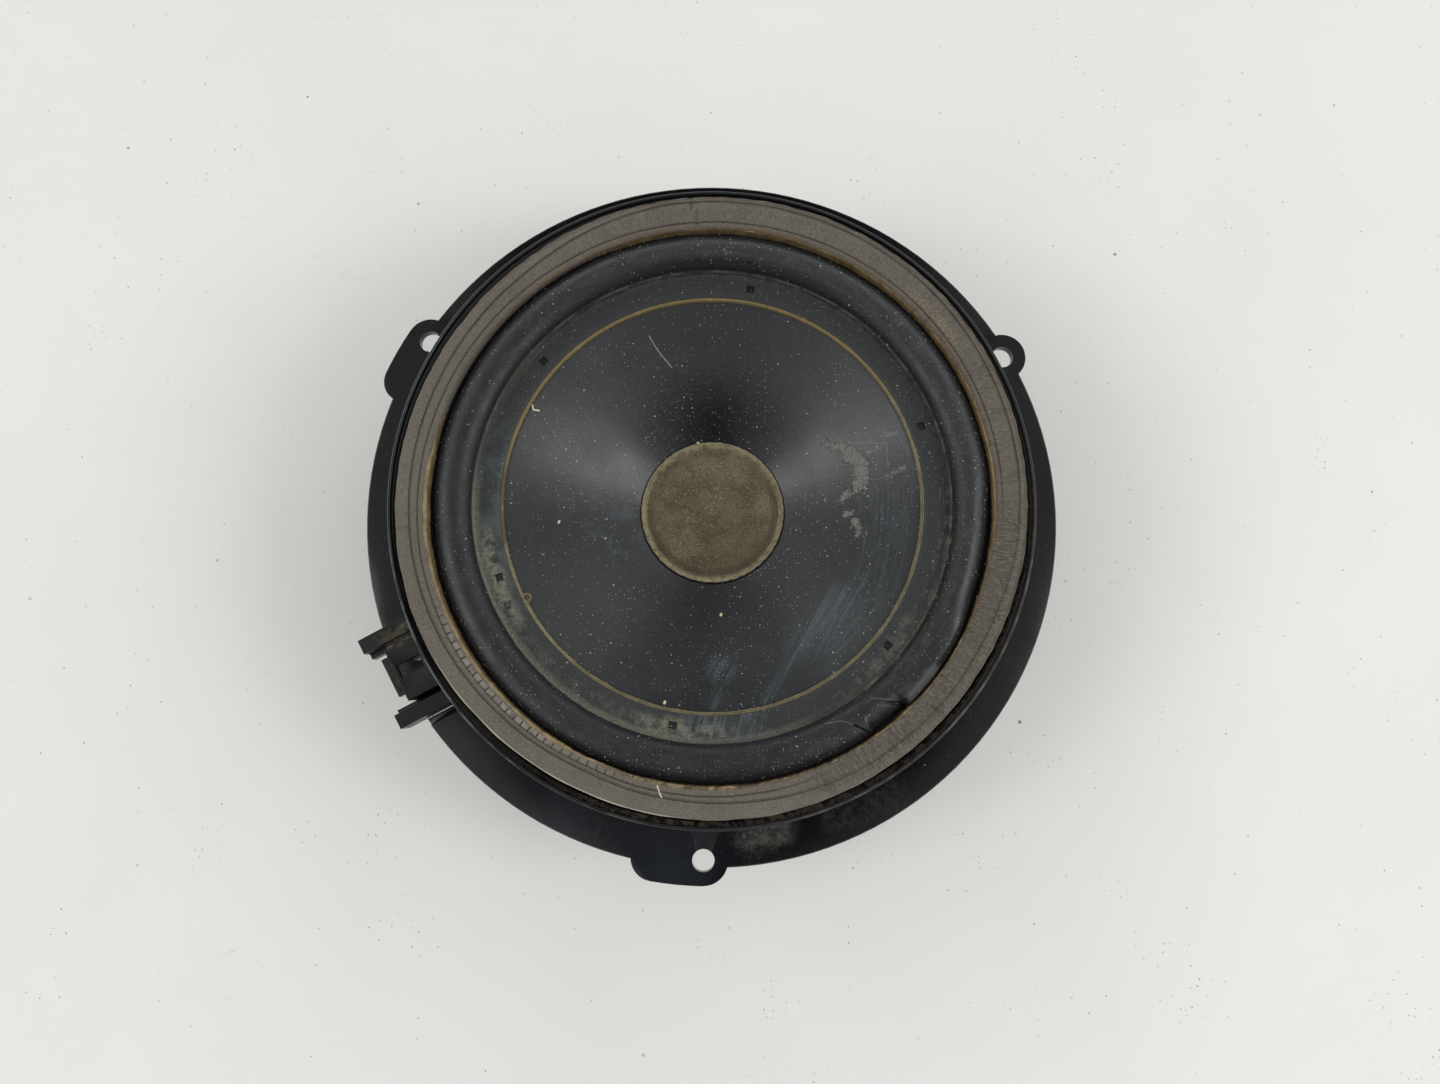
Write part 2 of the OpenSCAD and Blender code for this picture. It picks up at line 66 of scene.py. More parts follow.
def colour(red, green, blue):
    """Display values from 0 to 255 as the linear colour that a shader uses."""
    return tuple(((c / 255 + 0.055) / 1.055) ** 2.4 for c in (red, green, blue)) + (1.0,)


def operator(name, swapped=False):
    def apply(self, other=0.0):
        first, second = (other, self) if swapped else (self, other)
        return self.nodes.math(name, first, second)
    return apply


class Field:
    """A value that changes over a surface and is used like a number."""

    __add__, __radd__ = operator("ADD"), operator("ADD", True)
    __sub__, __rsub__ = operator("SUBTRACT"), operator("SUBTRACT", True)
    __mul__, __rmul__ = operator("MULTIPLY"), operator("MULTIPLY", True)
    __truediv__, __abs__ = operator("DIVIDE"), operator("ABSOLUTE")

    def __init__(self, nodes, socket):
        self.nodes = nodes
        self.socket = socket


class Nodes:
    """Short calls that add shader nodes to one node tree."""

    def __init__(self, tree, coordinates):
        self.tree = tree
        self.place = self.out(self.add("ShaderNodeTexCoord"), coordinates)
        split = self.add("ShaderNodeSeparateXYZ", self.place)
        self.x, self.y, self.z = (self.out(split, axis) for axis in "XYZ")

    def put(self, value, socket):
        if isinstance(value, Field):
            self.tree.links.new(value.socket, socket)
        elif value is not None:
            socket.default_value = value

    def add(self, kind, *inputs, **settings):
        node = self.tree.nodes.new(kind)
        for key, value in settings.items():
            setattr(node, key, value)
        for value, socket in zip(inputs, node.inputs):
            self.put(value, socket)
        return node

    def out(self, node, key=0):
        return Field(self, node.outputs[key])

    def math(self, operation, a, b=0.0):
        return self.out(self.add("ShaderNodeMath", a, b, operation=operation))

    def ramp(self, value, start, end, low=0.0, high=1.0):
        """A smooth step from low to high while value goes from start to end."""
        return self.out(self.add("ShaderNodeMapRange", value, start, end, low, high,
                                 interpolation_type="SMOOTHSTEP"))

    def most(self, *values):
        top = values[0]
        for value in values[1:]:
            top = self.math("MAXIMUM", top, value)
        return top

    def vector(self, operation, a, b=None, result="Vector"):
        return self.out(self.add("ShaderNodeVectorMath", a, b, operation=operation), result)


class Shade(Nodes):
    """A Principled material in the speaker's own coordinates."""

    def __init__(self, name, **sockets):
        self.material = bpy.data.materials.new(name)
        self.material.use_nodes = True
        super().__init__(self.material.node_tree, "Object")
        self.surface = self.tree.nodes["Principled BSDF"]
        for key, value in sockets.items():
            self.feed(key.replace("_", " ").title().replace("Ior", "IOR"), value)
        self.flat = self.xyz(self.x, self.y, 0.0)
        self.radius = self.vector("LENGTH", self.flat, result="Value")
        self.turn = self.math("ARCTAN2", self.y, self.x)
        self.base = None

    def feed(self, socket, value):
        self.put(value, self.surface.inputs[socket])

    def done(self):
        self.feed("Base Color", self.base)
        return self.material

    def mix(self, factor, a, b):
        node = self.add("ShaderNodeMix", data_type="RGBA", clamp_factor=True)
        for value, socket in ((factor, node.inputs[0]), (a, node.inputs[6]), (b, node.inputs[7])):
            self.put(value, socket)
        return self.out(node, 2)

    def paint(self, share, red, green, blue):
        """Lays a colour over the base colour, where share is 1."""
        self.base = self.mix(share, self.base, colour(red, green, blue))

    def xyz(self, x, y, z):
        return self.out(self.add("ShaderNodeCombineXYZ", x, y, z))

    def noise(self, size, detail=3.0, rough=0.5, at=None):
        """Noise from 0 to 1 whose largest features are about `size` across."""
        node = self.add("ShaderNodeTexNoise")
        self.put(at or self.place, node.inputs["Vector"])
        self.put(1 / size, node.inputs["Scale"])
        self.put(detail, node.inputs["Detail"])
        self.put(rough, node.inputs["Roughness"])
        return self.out(node, "Fac")

    def patches(self, size, start, end, low=0.0, high=1.0):
        return self.ramp(self.noise(size), start, end, low, high)

    def lines(self, width, at):
        """Thin wandering lines where a noise crosses its middle value, like creases or cracks."""
        away = abs(self.noise(1, 2.0, 0.55, at) - 0.5)
        return self.ramp(away, width, width * 0.2)

    def specks(self, spacing, share, size, at=None, cells="3D"):
        """Scattered specks: a share of the cells of this spacing hold one, up to `size` cells across."""
        node = self.add("ShaderNodeTexVoronoi", voronoi_dimensions=cells)
        self.put(at or self.place, node.inputs["Vector"])
        self.put(1 / spacing, node.inputs["Scale"])
        parts = self.add("ShaderNodeSeparateColor", self.out(node, "Color"))
        chosen = self.math("GREATER_THAN", self.out(parts, 0), 1 - share)
        inside = self.out(parts, 1) * size - self.out(node, "Distance")
        return chosen * self.ramp(inside, 0.0, 0.3 * size)

    def direction(self, degrees):
        """How nearly a point lies in this direction from the axis: 1 is dead on and -1 is opposite."""
        turn = math.radians(degrees)
        return (self.x * math.cos(turn) + self.y * math.sin(turn)) / self.radius

    def sector(self, middle, half, soft):
        """1 within half a width of a direction and 0 beyond the soft edge, in degrees."""
        outer = math.cos(math.radians(min(half + soft, 180)))
        return self.ramp(self.direction(middle), outer, math.cos(math.radians(half)))

    def around(self, *knots):
        """A value from -1 to 1 that changes evenly between (direction in degrees, value) pairs."""
        share = self.math("FRACT", self.turn * (0.5 / math.pi))
        node = self.add("ShaderNodeFloatCurve")
        self.put(share, node.inputs["Value"])
        points = node.mapping.curves[0].points
        points[0].location = (0.0, 0.5 + 0.5 * knots[0][1])
        points[1].location = (1.0, 0.5 + 0.5 * knots[0][1])
        for degrees, value in knots[1:]:
            points.new(degrees / 360, 0.5 + 0.5 * value)
        for point in points:
            point.handle_type = "VECTOR"
        node.mapping.update()
        return self.out(node) * 2.0 - 1.0

    def ring(self, middle, half, soft):
        return self.near(abs(self.radius - middle * MM), half, soft)

    def near(self, distance, half, soft):
        """1 while a distance is within half a width and 0 beyond the soft edge, in millimetres."""
        return self.ramp(distance, (half + soft) * MM, half * MM)

    def beyond(self, start, end):
        """0 to 1 while the radius goes from start to end, in millimetres."""
        return self.ramp(self.radius, start * MM, end * MM)

    def height(self, start, end):
        """0 to 1 while the height goes from start to end, in millimetres."""
        return self.ramp(self.z, start * MM, end * MM)

    def reach(self, start, end=None):
        """Distance in the front plane from a point, or from a straight line between two points, in mm."""
        first = Vector((*start, 0)) * MM
        offset = self.vector("SUBTRACT", self.flat, first)
        if end is None:
            return self.vector("LENGTH", offset, result="Value")
        line = Vector((*end, 0)) * MM - first
        share = self.vector("DOT_PRODUCT", offset, line / line.length_squared, result="Value")
        share = self.math("MINIMUM", self.most(share, 0.0), 1.0)
        nearest = self.add("ShaderNodeVectorMath", line, operation="SCALE")
        self.put(share, nearest.inputs["Scale"])
        return self.vector("DISTANCE", offset, self.out(nearest), result="Value")

    def strokes(self, half, soft, *points):
        """A thin mark through a row of points, in millimetres."""
        return self.most(*(self.near(self.reach(a, b), half, soft) for a, b in zip(points, points[1:])))

    def polar(self, turns, depth):
        """Coordinates that change `turns` per radian round the axis and `depth` per metre of radius."""
        return self.xyz(self.x / self.radius * turns, self.y / self.radius * turns,
                             self.radius * depth)

    def tilted(self, degrees, along, across):
        """Coordinates stretched along one direction in the front plane, for scratches."""
        turn = math.radians(degrees)
        u = self.x * math.cos(turn) + self.y * math.sin(turn)
        v = self.y * math.cos(turn) - self.x * math.sin(turn)
        return self.xyz(u * (1 / along), v * (1 / across), self.z * (1 / along))

    def bump(self, height, depth):
        node = self.add("ShaderNodeBump")
        self.put(height, node.inputs["Height"])
        self.put(depth, node.inputs["Distance"])
        return self.out(node, "Normal")


# ---- Camera, floor and light ----

def linked(name, data):
    obj = bpy.data.objects.new(name, data)
    bpy.context.scene.collection.objects.link(obj)
    return obj


def make_camera():
    data = bpy.data.cameras.new("camera")
    data.sensor_width = 36
    data.lens = 26.5
    camera = linked("camera", data)
    tilt = Matrix.Rotation(math.radians(7.96), 4, "X") @ Matrix.Rotation(math.radians(-0.51), 4, "Y")
    camera.matrix_world = Matrix.Translation((-0.0005, -0.0450, 0.2695)) @ tilt
    bpy.context.scene.camera = camera


def area_light(name, place, size, power):
    """A soft rectangular light aimed at the speaker."""
    data = bpy.data.lights.new(name, "AREA")
    data.shape = "RECTANGLE"
    data.size, data.size_y = size
    data.energy = power
    light = linked(name, data)
    light.location = place
    light.rotation_mode = "QUATERNION"
    light.rotation_quaternion = (-Vector(place)).to_track_quat("-Z", "Y")


def make_lights():
    """Softboxes at the left, right and top edges in a white tent, darker overhead and low down."""
    area_light("left", (-0.70, -0.12, 0.75), (0.30, 0.36), 1.6)
    area_light("right", (0.74, -0.14, 0.72), (0.30, 0.36), 2.4)
    area_light("back", (0.0, 1.35, 0.50), (1.4, 0.35), 1.4)
    world = bpy.data.worlds.new("tent")
    bpy.context.scene.world = world
    world.use_nodes = True
    n = Nodes(world.node_tree, "Generated")
    strength = n.ramp(n.z, 0.86, 0.52, 0.48, 1.66) * n.ramp(n.z, 0.05, 0.48, 0.42, 1.0)
    strength = strength * n.ramp(n.y, -0.95, -0.35, 0.45, 1.0)
    # dark patches overhead and towards the bottom and top edges: lean, inner and outer angle, rest
    for lean, inner, outer, low in ((7, 11, 20, 0.04), (47, 12, 24, 0.05), (-42, 14, 27, 0.04)):
        turn = math.radians(lean)
        towards = n.vector("DOT_PRODUCT", n.place, (0, -math.sin(turn), math.cos(turn)), "Value")
        strength = strength * n.ramp(towards, math.cos(math.radians(outer)),
                                     math.cos(math.radians(inner)), 1.0, low)
    background = n.tree.nodes["Background"]
    background.inputs["Color"].default_value = (0.99, 1.0, 0.985, 1)
    n.put(strength, background.inputs["Strength"])
    bpy.context.scene.view_settings.view_transform = "Standard"


# ---- Materials ----

def floor_material():
    s = Shade("floor_white", roughness=0.75)
    tone = s.mix(s.noise(0.12, 4, 0.6), colour(226, 227, 222), colour(240, 241, 237))
    grime = s.most(s.specks(0.018, 0.1, 0.035, cells="2D") * s.patches(0.003, 0.35, 0.6),
                   s.specks(0.0048, 0.1, 0.07, cells="2D") * 0.7)
    crumbs = s.specks(0.0019, 0.42, 0.16, cells="2D") * s.ramp(s.noise(0.035, 3, 0.6), 0.56, 0.68)
    s.base = s.mix(s.most(grime, crumbs) * 0.8, tone, colour(112, 110, 104))
    hairs = s.lines(0.004, s.tilted(25, 0.09, 0.012)) * s.ramp(s.noise(0.05, 2), 0.62, 0.74)
    s.paint(hairs * 0.22, 160, 160, 156)
    return s.done()


def dusty(s, amount=1.0):
    """Pale specks of dust of three sizes over a dark surface."""
    patchy = s.ramp(s.noise(0.014, 3, 0.6), 0.36, 0.60, 0.25, 1.0)
    fine = s.specks(0.0009, 0.50, 0.17, cells="2D") * patchy
    s.paint(fine * (0.9 * amount), 140, 146, 142)
    small = s.specks(0.0024, 0.30, 0.08, cells="2D") * s.ramp(patchy, 0.2, 0.8, 0.5, 1.0)
    s.paint(small * (0.9 * amount), 190, 188, 172)
    crumb = s.specks(1, 0.16, 0.10, s.tilted(70, 0.008, 0.0050))
    s.paint(crumb * (0.9 * amount), 208, 198, 164)


def basket_dirt(s):
    """Brown dirt on the step outside the gasket and on the rim, most at the lower right."""
    step = s.ring(75.2, 0.62, 0.25) * s.height(22.9, 22.0)
    dirt = step * s.ramp(s.noise(0.0022, 4, 0.75), 0.42, 0.6) * s.most(s.sector(305, 45, 25), 0.25)
    s.paint(dirt * 0.75, 66, 55, 42)
    spill = (s.ring(76.1, 0.65, 0.1) * s.ramp(s.noise(0.0016, 4, 0.75), 0.46, 0.6)
             * s.sector(328, 30, 20))
    s.paint(spill * s.height(21.0, 21.6) * 0.5, 60, 50, 39)
    grit = s.specks(0.0007, 0.35, 0.28) * s.most(dirt, step * 0.25)
    s.paint(grit * 0.8, 150, 138, 112)
    # the floor of the pocket beside the connector
    pocket = s.height(1.6, 1.3) * s.ring(81, 5, 0.5) * s.sector(216.5, 3, 1)
    s.paint(pocket * s.patches(0.003, 0.3, 0.7) * 0.7, 64, 50, 40)
    return dirt


def basket_smears(s, cloud):
    """Smears, a grey film and faint scratches on the flange."""
    haze = s.most(s.near(s.reach((9, -80.5), (16, -79)), 1.0, 5.5),
                  s.near(s.reach((30, -76), (44, -70)), 1.0, 5.0) * 0.3,
                  s.near(s.reach((-36, -76), (-28, -79)), 1.0, 6.0) * 0.2)
    s.paint(haze * s.ramp(s.noise(0.0016, 4, 0.7), 0.34, 0.7) * 0.5, 104, 102, 94)
    flange = s.height(3.4, 2.7) * s.beyond(76.7, 77.5)
    film = flange * s.sector(238, 22, 18) * s.ramp(cloud, 0.3, 0.6, 0.5, 1.0)
    s.paint(film * 0.8, 44, 47, 51)
    marks = s.lines(0.02, s.tilted(250, 0.011, 0.0016)) * s.ramp(s.noise(0.012, 2), 0.5, 0.64) * flange
    s.paint(marks * 0.06, 120, 122, 122)
    return haze


def basket_material():
    s = Shade("basket_plastic", specular_ior_level=0.42)
    cloud = s.noise(0.03)
    s.base = s.mix(cloud, colour(10, 11, 14), colour(16, 17, 20))
    dirt = basket_dirt(s)
    brushed = s.noise(1, 4, 0.7, s.tilted(80, 0.007, 0.0022))
    haze = basket_smears(s, cloud)
    rim = s.ring(76.45, 0.15, 0.12) * s.height(22.5, 22.9)
    # painted highlight: the rim's top edge is lightened at the lower left and lower right, where light
    # catches its rounded edge
    edge_highlight = rim * s.patches(0.006, 0.42, 0.62) * s.most(s.sector(222, 22, 18), s.sector(318, 22, 18))
    s.paint(edge_highlight * 0.45, 120, 124, 126)
    specks = s.most(s.specks(0.0035, 0.14, 0.07) * 0.7, s.specks(0.0012, 0.18, 0.13) * 0.35)
    s.paint(specks, 150, 152, 142)
    dusted = s.ring(76.3, 0.8, 0.3) * s.height(21.6, 22.2) * s.sector(20, 110, 30)
    rough = s.most(s.ramp(cloud, 0.35, 0.75, 0.11, 0.18), haze * 0.42, dirt * 0.8, dusted * 0.5)
    s.feed("Roughness", rough)
    s.feed("Normal", s.bump(brushed * 0.5 + s.noise(0.0007), 0.000018))
    return s.done()


def connector_material():
    s = Shade("connector_plastic", specular_ior_level=0.38, roughness=0.36)
    cloud = s.noise(0.006, 4, 0.6)
    s.base = s.mix(cloud, colour(10, 10, 12), colour(18, 18, 20))
    turn = math.radians(PLUG_ANGLE)
    out = s.x * math.cos(turn) + s.y * math.sin(turn)
    across = s.y * math.cos(turn) - s.x * math.sin(turn)

    def strip(value, middle, half, soft):
        return s.near(abs(value - middle * MM), half, soft)

    torn = s.ramp(s.noise(0.0014, 4, 0.7), 0.4, 0.62)
    film = strip(across, -8.6, 1.9, 1.6) * s.ramp(out, 92 * MM, 80 * MM) * 0.42
    line = strip(across, -7.1, 0.12, 0.25) * s.ramp(out, 91 * MM, 86 * MM) * 0.9
    s.paint(s.most(film, line) * torn, 128, 116, 90)
    window = strip(across, -0.5, 1.7, 0.3) * strip(out, 83.4, 3.3, 0.3) * s.height(8.2, 7.2)
    s.paint(window * torn * 0.7, 42, 33, 26)
    low = s.height(3.4, 1.8) * torn
    s.paint(low * 0.35, 84, 76, 62)
    s.paint(s.specks(0.0016, 0.25, 0.13) * 0.6, 146, 142, 128)
    s.feed("Normal", s.bump(s.noise(0.0009, 4, 0.6), 0.00003))
    return s.done()


def foam_cracks(s, share, squeezed):
    """Radial cracks, deepest where the seal has been squeezed."""
    patchy = s.ramp(s.noise(1, 3, 0.6, s.polar(26, 130)), 0.4, 0.62)
    coarse = s.lines(0.075, s.polar(58, 230)) * s.most(patchy, squeezed * 0.6)
    fine = s.lines(0.06, s.polar(120, 380))
    deep = s.most(squeezed, s.sector(14, 34, 16) * 0.6, 0.14)
    shallow = s.most(s.sector(60, 70, 25) * 0.42, squeezed * 0.8, 0.2)
    inward = s.ramp(share, 0.15, 0.42) * s.ramp(share, 0.98, 0.86)
    cracks = s.most(coarse * deep * s.ramp(share, 0.02, 0.3, 0.35, 1.0), fine * shallow * inward * 0.75)
    s.paint(cracks * 0.52, 46, 41, 37)
    return cracks


def foam_grooves(s, share, squeezed):
    """Two wandering grooves round the strip, with a second line beside the outer one."""
    wander = s.noise(1, 2, 0.5, s.polar(5, 0)) * 0.04 - 0.02
    main = share + wander - s.around(*GROOVE)
    open_part = 1.0 - squeezed * 0.65
    for shift, width, strength in ((0.0, 0.018, 0.75), (0.052, 0.010, 0.40)):
        away = abs(main - shift)
        groove = s.ramp(away, 2.2 * width, 0.3 * width) * open_part * strength
        s.paint(groove, 48, 42, 38)
    second = abs(share - 0.79 - s.direction(60) * 0.04 + wander)
    second = s.ramp(second, 0.045, 0.008) * (1.0 - squeezed * 0.95) * 0.65
    s.paint(second, 50, 43, 38)
    return groove, second


def foam_pads(s, share):
    """Pressed grey marks inside the inner groove at the lower left."""
    pitches = s.turn * (PAD_COUNT / (2 * math.pi)) + s.noise(0.004, 2) * 0.5
    rung = abs(s.math("FRACT", pitches) - 0.5)
    row = s.ramp(share, 0.74, 0.77) * s.ramp(share, 0.95, 0.92) * s.sector(226, 18, 12)
    bright = 0.18 + s.sector(222, 11, 6) * 0.34
    pads = row * s.ramp(rung, 0.42, 0.37) * s.patches(0.003, 0.3, 0.55) * bright
    s.paint(pads, 150, 147, 141)
    s.paint(row * s.ramp(rung, 0.41, 0.46) * 0.7, 46, 40, 36)


def foam_wear(s, share, grain):
    """Brown stain along the glue, tan dust at the upper right, a painted highlight along the outer edge
    at the lower left, a paler outer edge all round, a fibre and dust.
    """
    stain = s.ramp(share, 0.84, 0.99) * s.ramp(s.noise(0.005, 4, 0.6), 0.3, 0.6) * s.sector(50, 75, 30)
    s.paint(stain * 0.5, 100, 78, 54)
    tan = (s.sector(39, 3, 6) * s.ramp(share, 0.42, 0.6) * s.ramp(share, 0.85, 0.7)
           * s.ramp(grain, 0.4, 0.6))
    s.paint(tan * 0.45, 150, 136, 104)
    # painted highlight where the gasket's outer edge catches the light at the lower left
    edge_highlight = s.ramp(share, 0.06, 0.03) * s.sector(238, 20, 10) * s.patches(0.006, 0.3, 0.5, 0.4, 1.0)
    s.paint(edge_highlight * 0.9, 196, 188, 168)
    rim = s.ramp(share, 0.05, 0.01) * s.patches(0.007, 0.45, 0.6) * 0.4
    s.paint(rim, 150, 142, 126)
    fibre = s.strokes(0.1, 0.12, (-12.6, -66.5), (-12.2, -67.8), (-11.6, -69.1))
    s.paint(fibre * 0.9, 206, 198, 176)
    s.paint(s.specks(0.0022, 0.12, 0.12) * 0.7, 182, 172, 148)


def foam_material():
    s = Shade("gasket_foam", roughness=0.9, sheen_weight=0.1, specular_ior_level=0.25)
    outer = GASKET_OUT * MM + s.around(*OUTER_EDGE) * MM
    inner = GASKET_IN * MM + s.around(*INNER_EDGE) * MM
    share = (outer - s.radius) / (outer - inner)
    cloud = s.noise(0.01, 4, 0.6)
    s.base = s.mix(cloud, colour(90, 84, 77), colour(112, 106, 96))
    grain = s.noise(0.00045, 3, 0.6)
    s.paint(s.ramp(grain, 0.52, 0.72) * 0.5, 134, 127, 116)
    s.paint(s.ramp(grain, 0.46, 0.3) * 0.5, 56, 50, 45)
    squeezed = s.sector(325, 28, 16)
    cracks = foam_cracks(s, share, squeezed)
    shadowed = s.ramp(share, 0.16, 0.05) * s.patches(0.003, 0.3, 0.6, 0.5, 1.0) * s.sector(50, 75, 25)
    s.paint(shadowed * 0.6, 62, 54, 48)
    groove, second = foam_grooves(s, share, squeezed)
    foam_pads(s, share)
    foam_wear(s, share, grain)
    height = cracks * -1.2 + grain * 0.35 - groove * 0.8 - second * 0.8
    s.feed("Normal", s.bump(height, 0.00022))
    return s.done()


def glue(s, light, dark):
    """The colour of cloudy glue with pale and dark specks in it."""
    tone = s.mix(s.ramp(s.noise(0.003, 4, 0.7), 0.32, 0.68), light, dark)
    tone = s.mix(s.specks(0.0006, 0.4, 0.33) * 0.55, tone, colour(174, 166, 134))
    s.feed("Normal", s.bump(s.noise(0.0006), 0.00006))
    return s.mix(s.specks(0.0009, 0.3, 0.30) * 0.6, tone, colour(52, 44, 32))


def glue_material(name, light, dark):
    s = Shade(name, roughness=0.5)
    s.base = glue(s, colour(*light), colour(*dark))
    return s.done()


def gasket_glue_material():
    s = Shade("amber_adhesive", roughness=0.5)
    tan = glue(s, colour(140, 123, 90), colour(106, 88, 60))
    s.base = glue(s, colour(146, 124, 88), colour(104, 84, 56))
    s.base = s.mix(s.sector(200, 62, 14) * 0.85, s.base, tan)
    crumbs = s.sector(276, 20, 10) * s.ramp(s.noise(0.0016, 4, 0.75), 0.42, 0.56)
    s.paint(crumbs * 0.8, 40, 34, 26)
    return s.done()


def edge_glue_material():
    s = Shade("edge_adhesive", roughness=0.55)
    s.base = glue(s, colour(120, 111, 82), colour(94, 85, 58))
    gold = s.sector(100, 55, 25)
    s.paint(gold * 0.6, 112, 92, 52)
    turn = math.radians(DROP_TURN)
    drop = s.reach((DROP_R * math.cos(turn), DROP_R * math.sin(turn)))
    s.paint(s.near(drop, 0.62, 0.15) * 0.7, 50, 48, 40)
    middle = s.ring(50.46, 0.07, 0.09) * s.sector(300, 62, 14)
    s.paint(middle * 0.75, 58, 50, 34)
    rust = s.sector(181, 8, 5) * s.patches(0.002, 0.3, 0.5)
    s.paint(rust * 0.8, 74, 52, 40)
    return s.done()


def rubber_landing(s):
    """Bluish haze and khaki dust on the landing, brightest at the lower left, and six pressed marks."""
    grain = s.ramp(s.noise(0.0006, 3, 0.75), 0.36, 0.66)
    landing = s.ring(54.1, 3.05, 0.25)
    s.paint(landing * 0.6, 54, 56, 56)
    haze = landing * s.sector(184, 14, 16) * s.ramp(s.noise(0.006, 4, 0.7), 0.4, 0.62)
    s.paint(haze * 0.35, 90, 98, 100)
    corner = s.beyond(55.2, 57.0) * s.beyond(57.5, 57.15)
    wide = s.beyond(51.4, 54.5) * s.beyond(57.5, 57.1)
    drift = s.ramp(s.noise(1, 4, 0.7, s.polar(20, 330)), 0.38, 0.6)
    line = s.ring(57.15, 0.08, 0.12) * s.patches(0.005, 0.4, 0.6) * 0.5
    drifted = wide * drift
    spots = ((drifted, 200, 9, 7, 1), (corner, 222, 40, 16, 0.9), (drifted, 228, 22, 12, 0.25),
             (drifted, 262, 8, 8, 0.8), (corner, 272, 16, 12, 0.6), (corner, 165, 20, 20, 0.3),
             (drifted, 320, 6, 7, 0.35), (corner, 312, 26, 12, 0.25))
    fringe = s.most(*(area * s.sector(middle, half, soft) * share
                      for area, middle, half, soft, share in spots), corner * drift * 0.2, line)
    fringe = fringe * (grain * 0.6 + 0.4)
    s.paint(fringe * 0.75, 142, 139, 123)
    blue = (landing * s.sector(272, 6, 8)
            * s.ramp(s.noise(1, 3, 0.6, s.tilted(75, 0.012, 0.0006)), 0.45, 0.65))
    s.paint(blue * 0.35, 96, 110, 116)
    # thin scuffed arcs at the lower right
    arcs = s.lines(0.03, s.polar(6, 900)) * s.sector(332, 24, 14) * s.ring(56.2, 1.6, 1.0)
    s.paint(arcs * drift * 0.4, 124, 121, 108)
    # the six pressed marks, painted near black as shade in the pits
    repeat = s.math("COSINE", s.turn * 6.0 - math.radians(6 * DIMPLE_TURN))
    pit = s.ramp(repeat, 0.9925, 0.9955) * s.ring(DIMPLE_R, DIMPLE_HALF - 0.1, 0.15)
    dust_ring = s.ramp(repeat, 0.93, 0.985) * s.ring(DIMPLE_R, 1.2, 1.5) * grain * s.sector(230, 40, 20)
    s.paint(dust_ring * 0.4, 128, 120, 92)
    s.paint(pit * 0.92, 6, 6, 6)
    return landing, fringe


def rubber_roll(s):
    """Painted reflection in streaks and a painted sheen on the crest, painted shade in the outer valley
    and on the inner slope, and crumbs in the valley.
    """
    streaks = s.ramp(s.noise(1, 4, 0.6, s.polar(18, 800)), 0.46, 0.7)
    # painted reflection: bluish streaks on the crest, strongest at the right
    streaked_reflection = s.ring(61.8, 2.6, 1.2) * s.most(s.sector(10, 60, 30), 0.35) * streaks
    s.paint(streaked_reflection * 0.14, 92, 100, 106)
    # painted sheen: the crest is lightened, most at the upper right
    crest = s.ring(61.9, 1.0, 1.9) * (0.45 + s.sector(55, 60, 30) * 0.5) * (0.6 + streaks * 0.5)
    s.paint(crest, 53, 55, 58)
    # painted shade: the outer valley next to the gasket is darkened almost to black
    valley = s.beyond(64.0, 65.2)
    s.paint(valley * 0.85, 5, 5, 6)
    # painted shade on the inner slope of the roll, towards the top
    s.paint(s.ring(58.4, 0.6, 0.5) * s.sector(75, 95, 40) * 0.8, 8, 8, 9)
    crumbs = (s.ring(65.2, 1.7, 0.8) * s.specks(0.0008, 0.42, 0.34)
              * s.ramp(s.noise(0.004, 2), 0.35, 0.55))
    s.paint(crumbs * 0.85, 132, 124, 98)
    blown = s.specks(1, 0.26, 0.3, s.polar(110, 620)) * s.ring(63.4, 2.2, 1.2) * s.sector(95, 70, 25)
    s.paint(blown * 0.7, 150, 150, 140)
    return valley


def rubber_tears(s):
    """A fold and a slit at the lower right painted near black as shade, pale marks, and a painted
    highlight where the roll is pushed against the gasket.
    """
    fold = s.strokes(0.25, 0.5, (43.6, -47.9), (46.6, -50.6))
    slit = s.strokes(0.14, 0.2, (31.6, -52.5), (35.0, -54.1), (37.1, -56.8))
    # painted shade: the fold and the slit are painted near black
    s.paint(s.most(fold, slit), 3, 3, 3)
    pale = s.most(s.strokes(0.08, 0.12, (26.0, -52.6), (29.4, -52.0), (32.4, -52.7)),
                  s.strokes(0.06, 0.12, (36.6, -46.8), (43.2, -47.4)))
    s.paint(pale * 0.28, 130, 128, 114)
    # painted highlight along the roll where it is pushed against the gasket
    bulge_highlight = s.near(s.reach((46.2, -46.6), (51.4, -40.6)), 0.5, 1.5)
    s.paint(bulge_highlight * 0.5, 96, 98, 98)


def rubber_material():
    s = Shade("surround_rubber", specular_ior_level=0.4)
    cloud = s.noise(0.02)
    s.base = s.mix(cloud, colour(17, 19, 22), colour(25, 27, 31))
    landing, fringe = rubber_landing(s)
    valley = rubber_roll(s)
    rubber_tears(s)
    dusty(s, 0.85)
    dull = s.most(valley * 0.9, fringe * 0.9, landing * 0.52)
    s.feed("Roughness", s.most(s.patches(0.006, 0.3, 0.7, 0.38, 0.52), dull))
    s.feed("Normal", s.bump(s.noise(0.0009, 4, 0.6), 0.00005))
    return s.done()


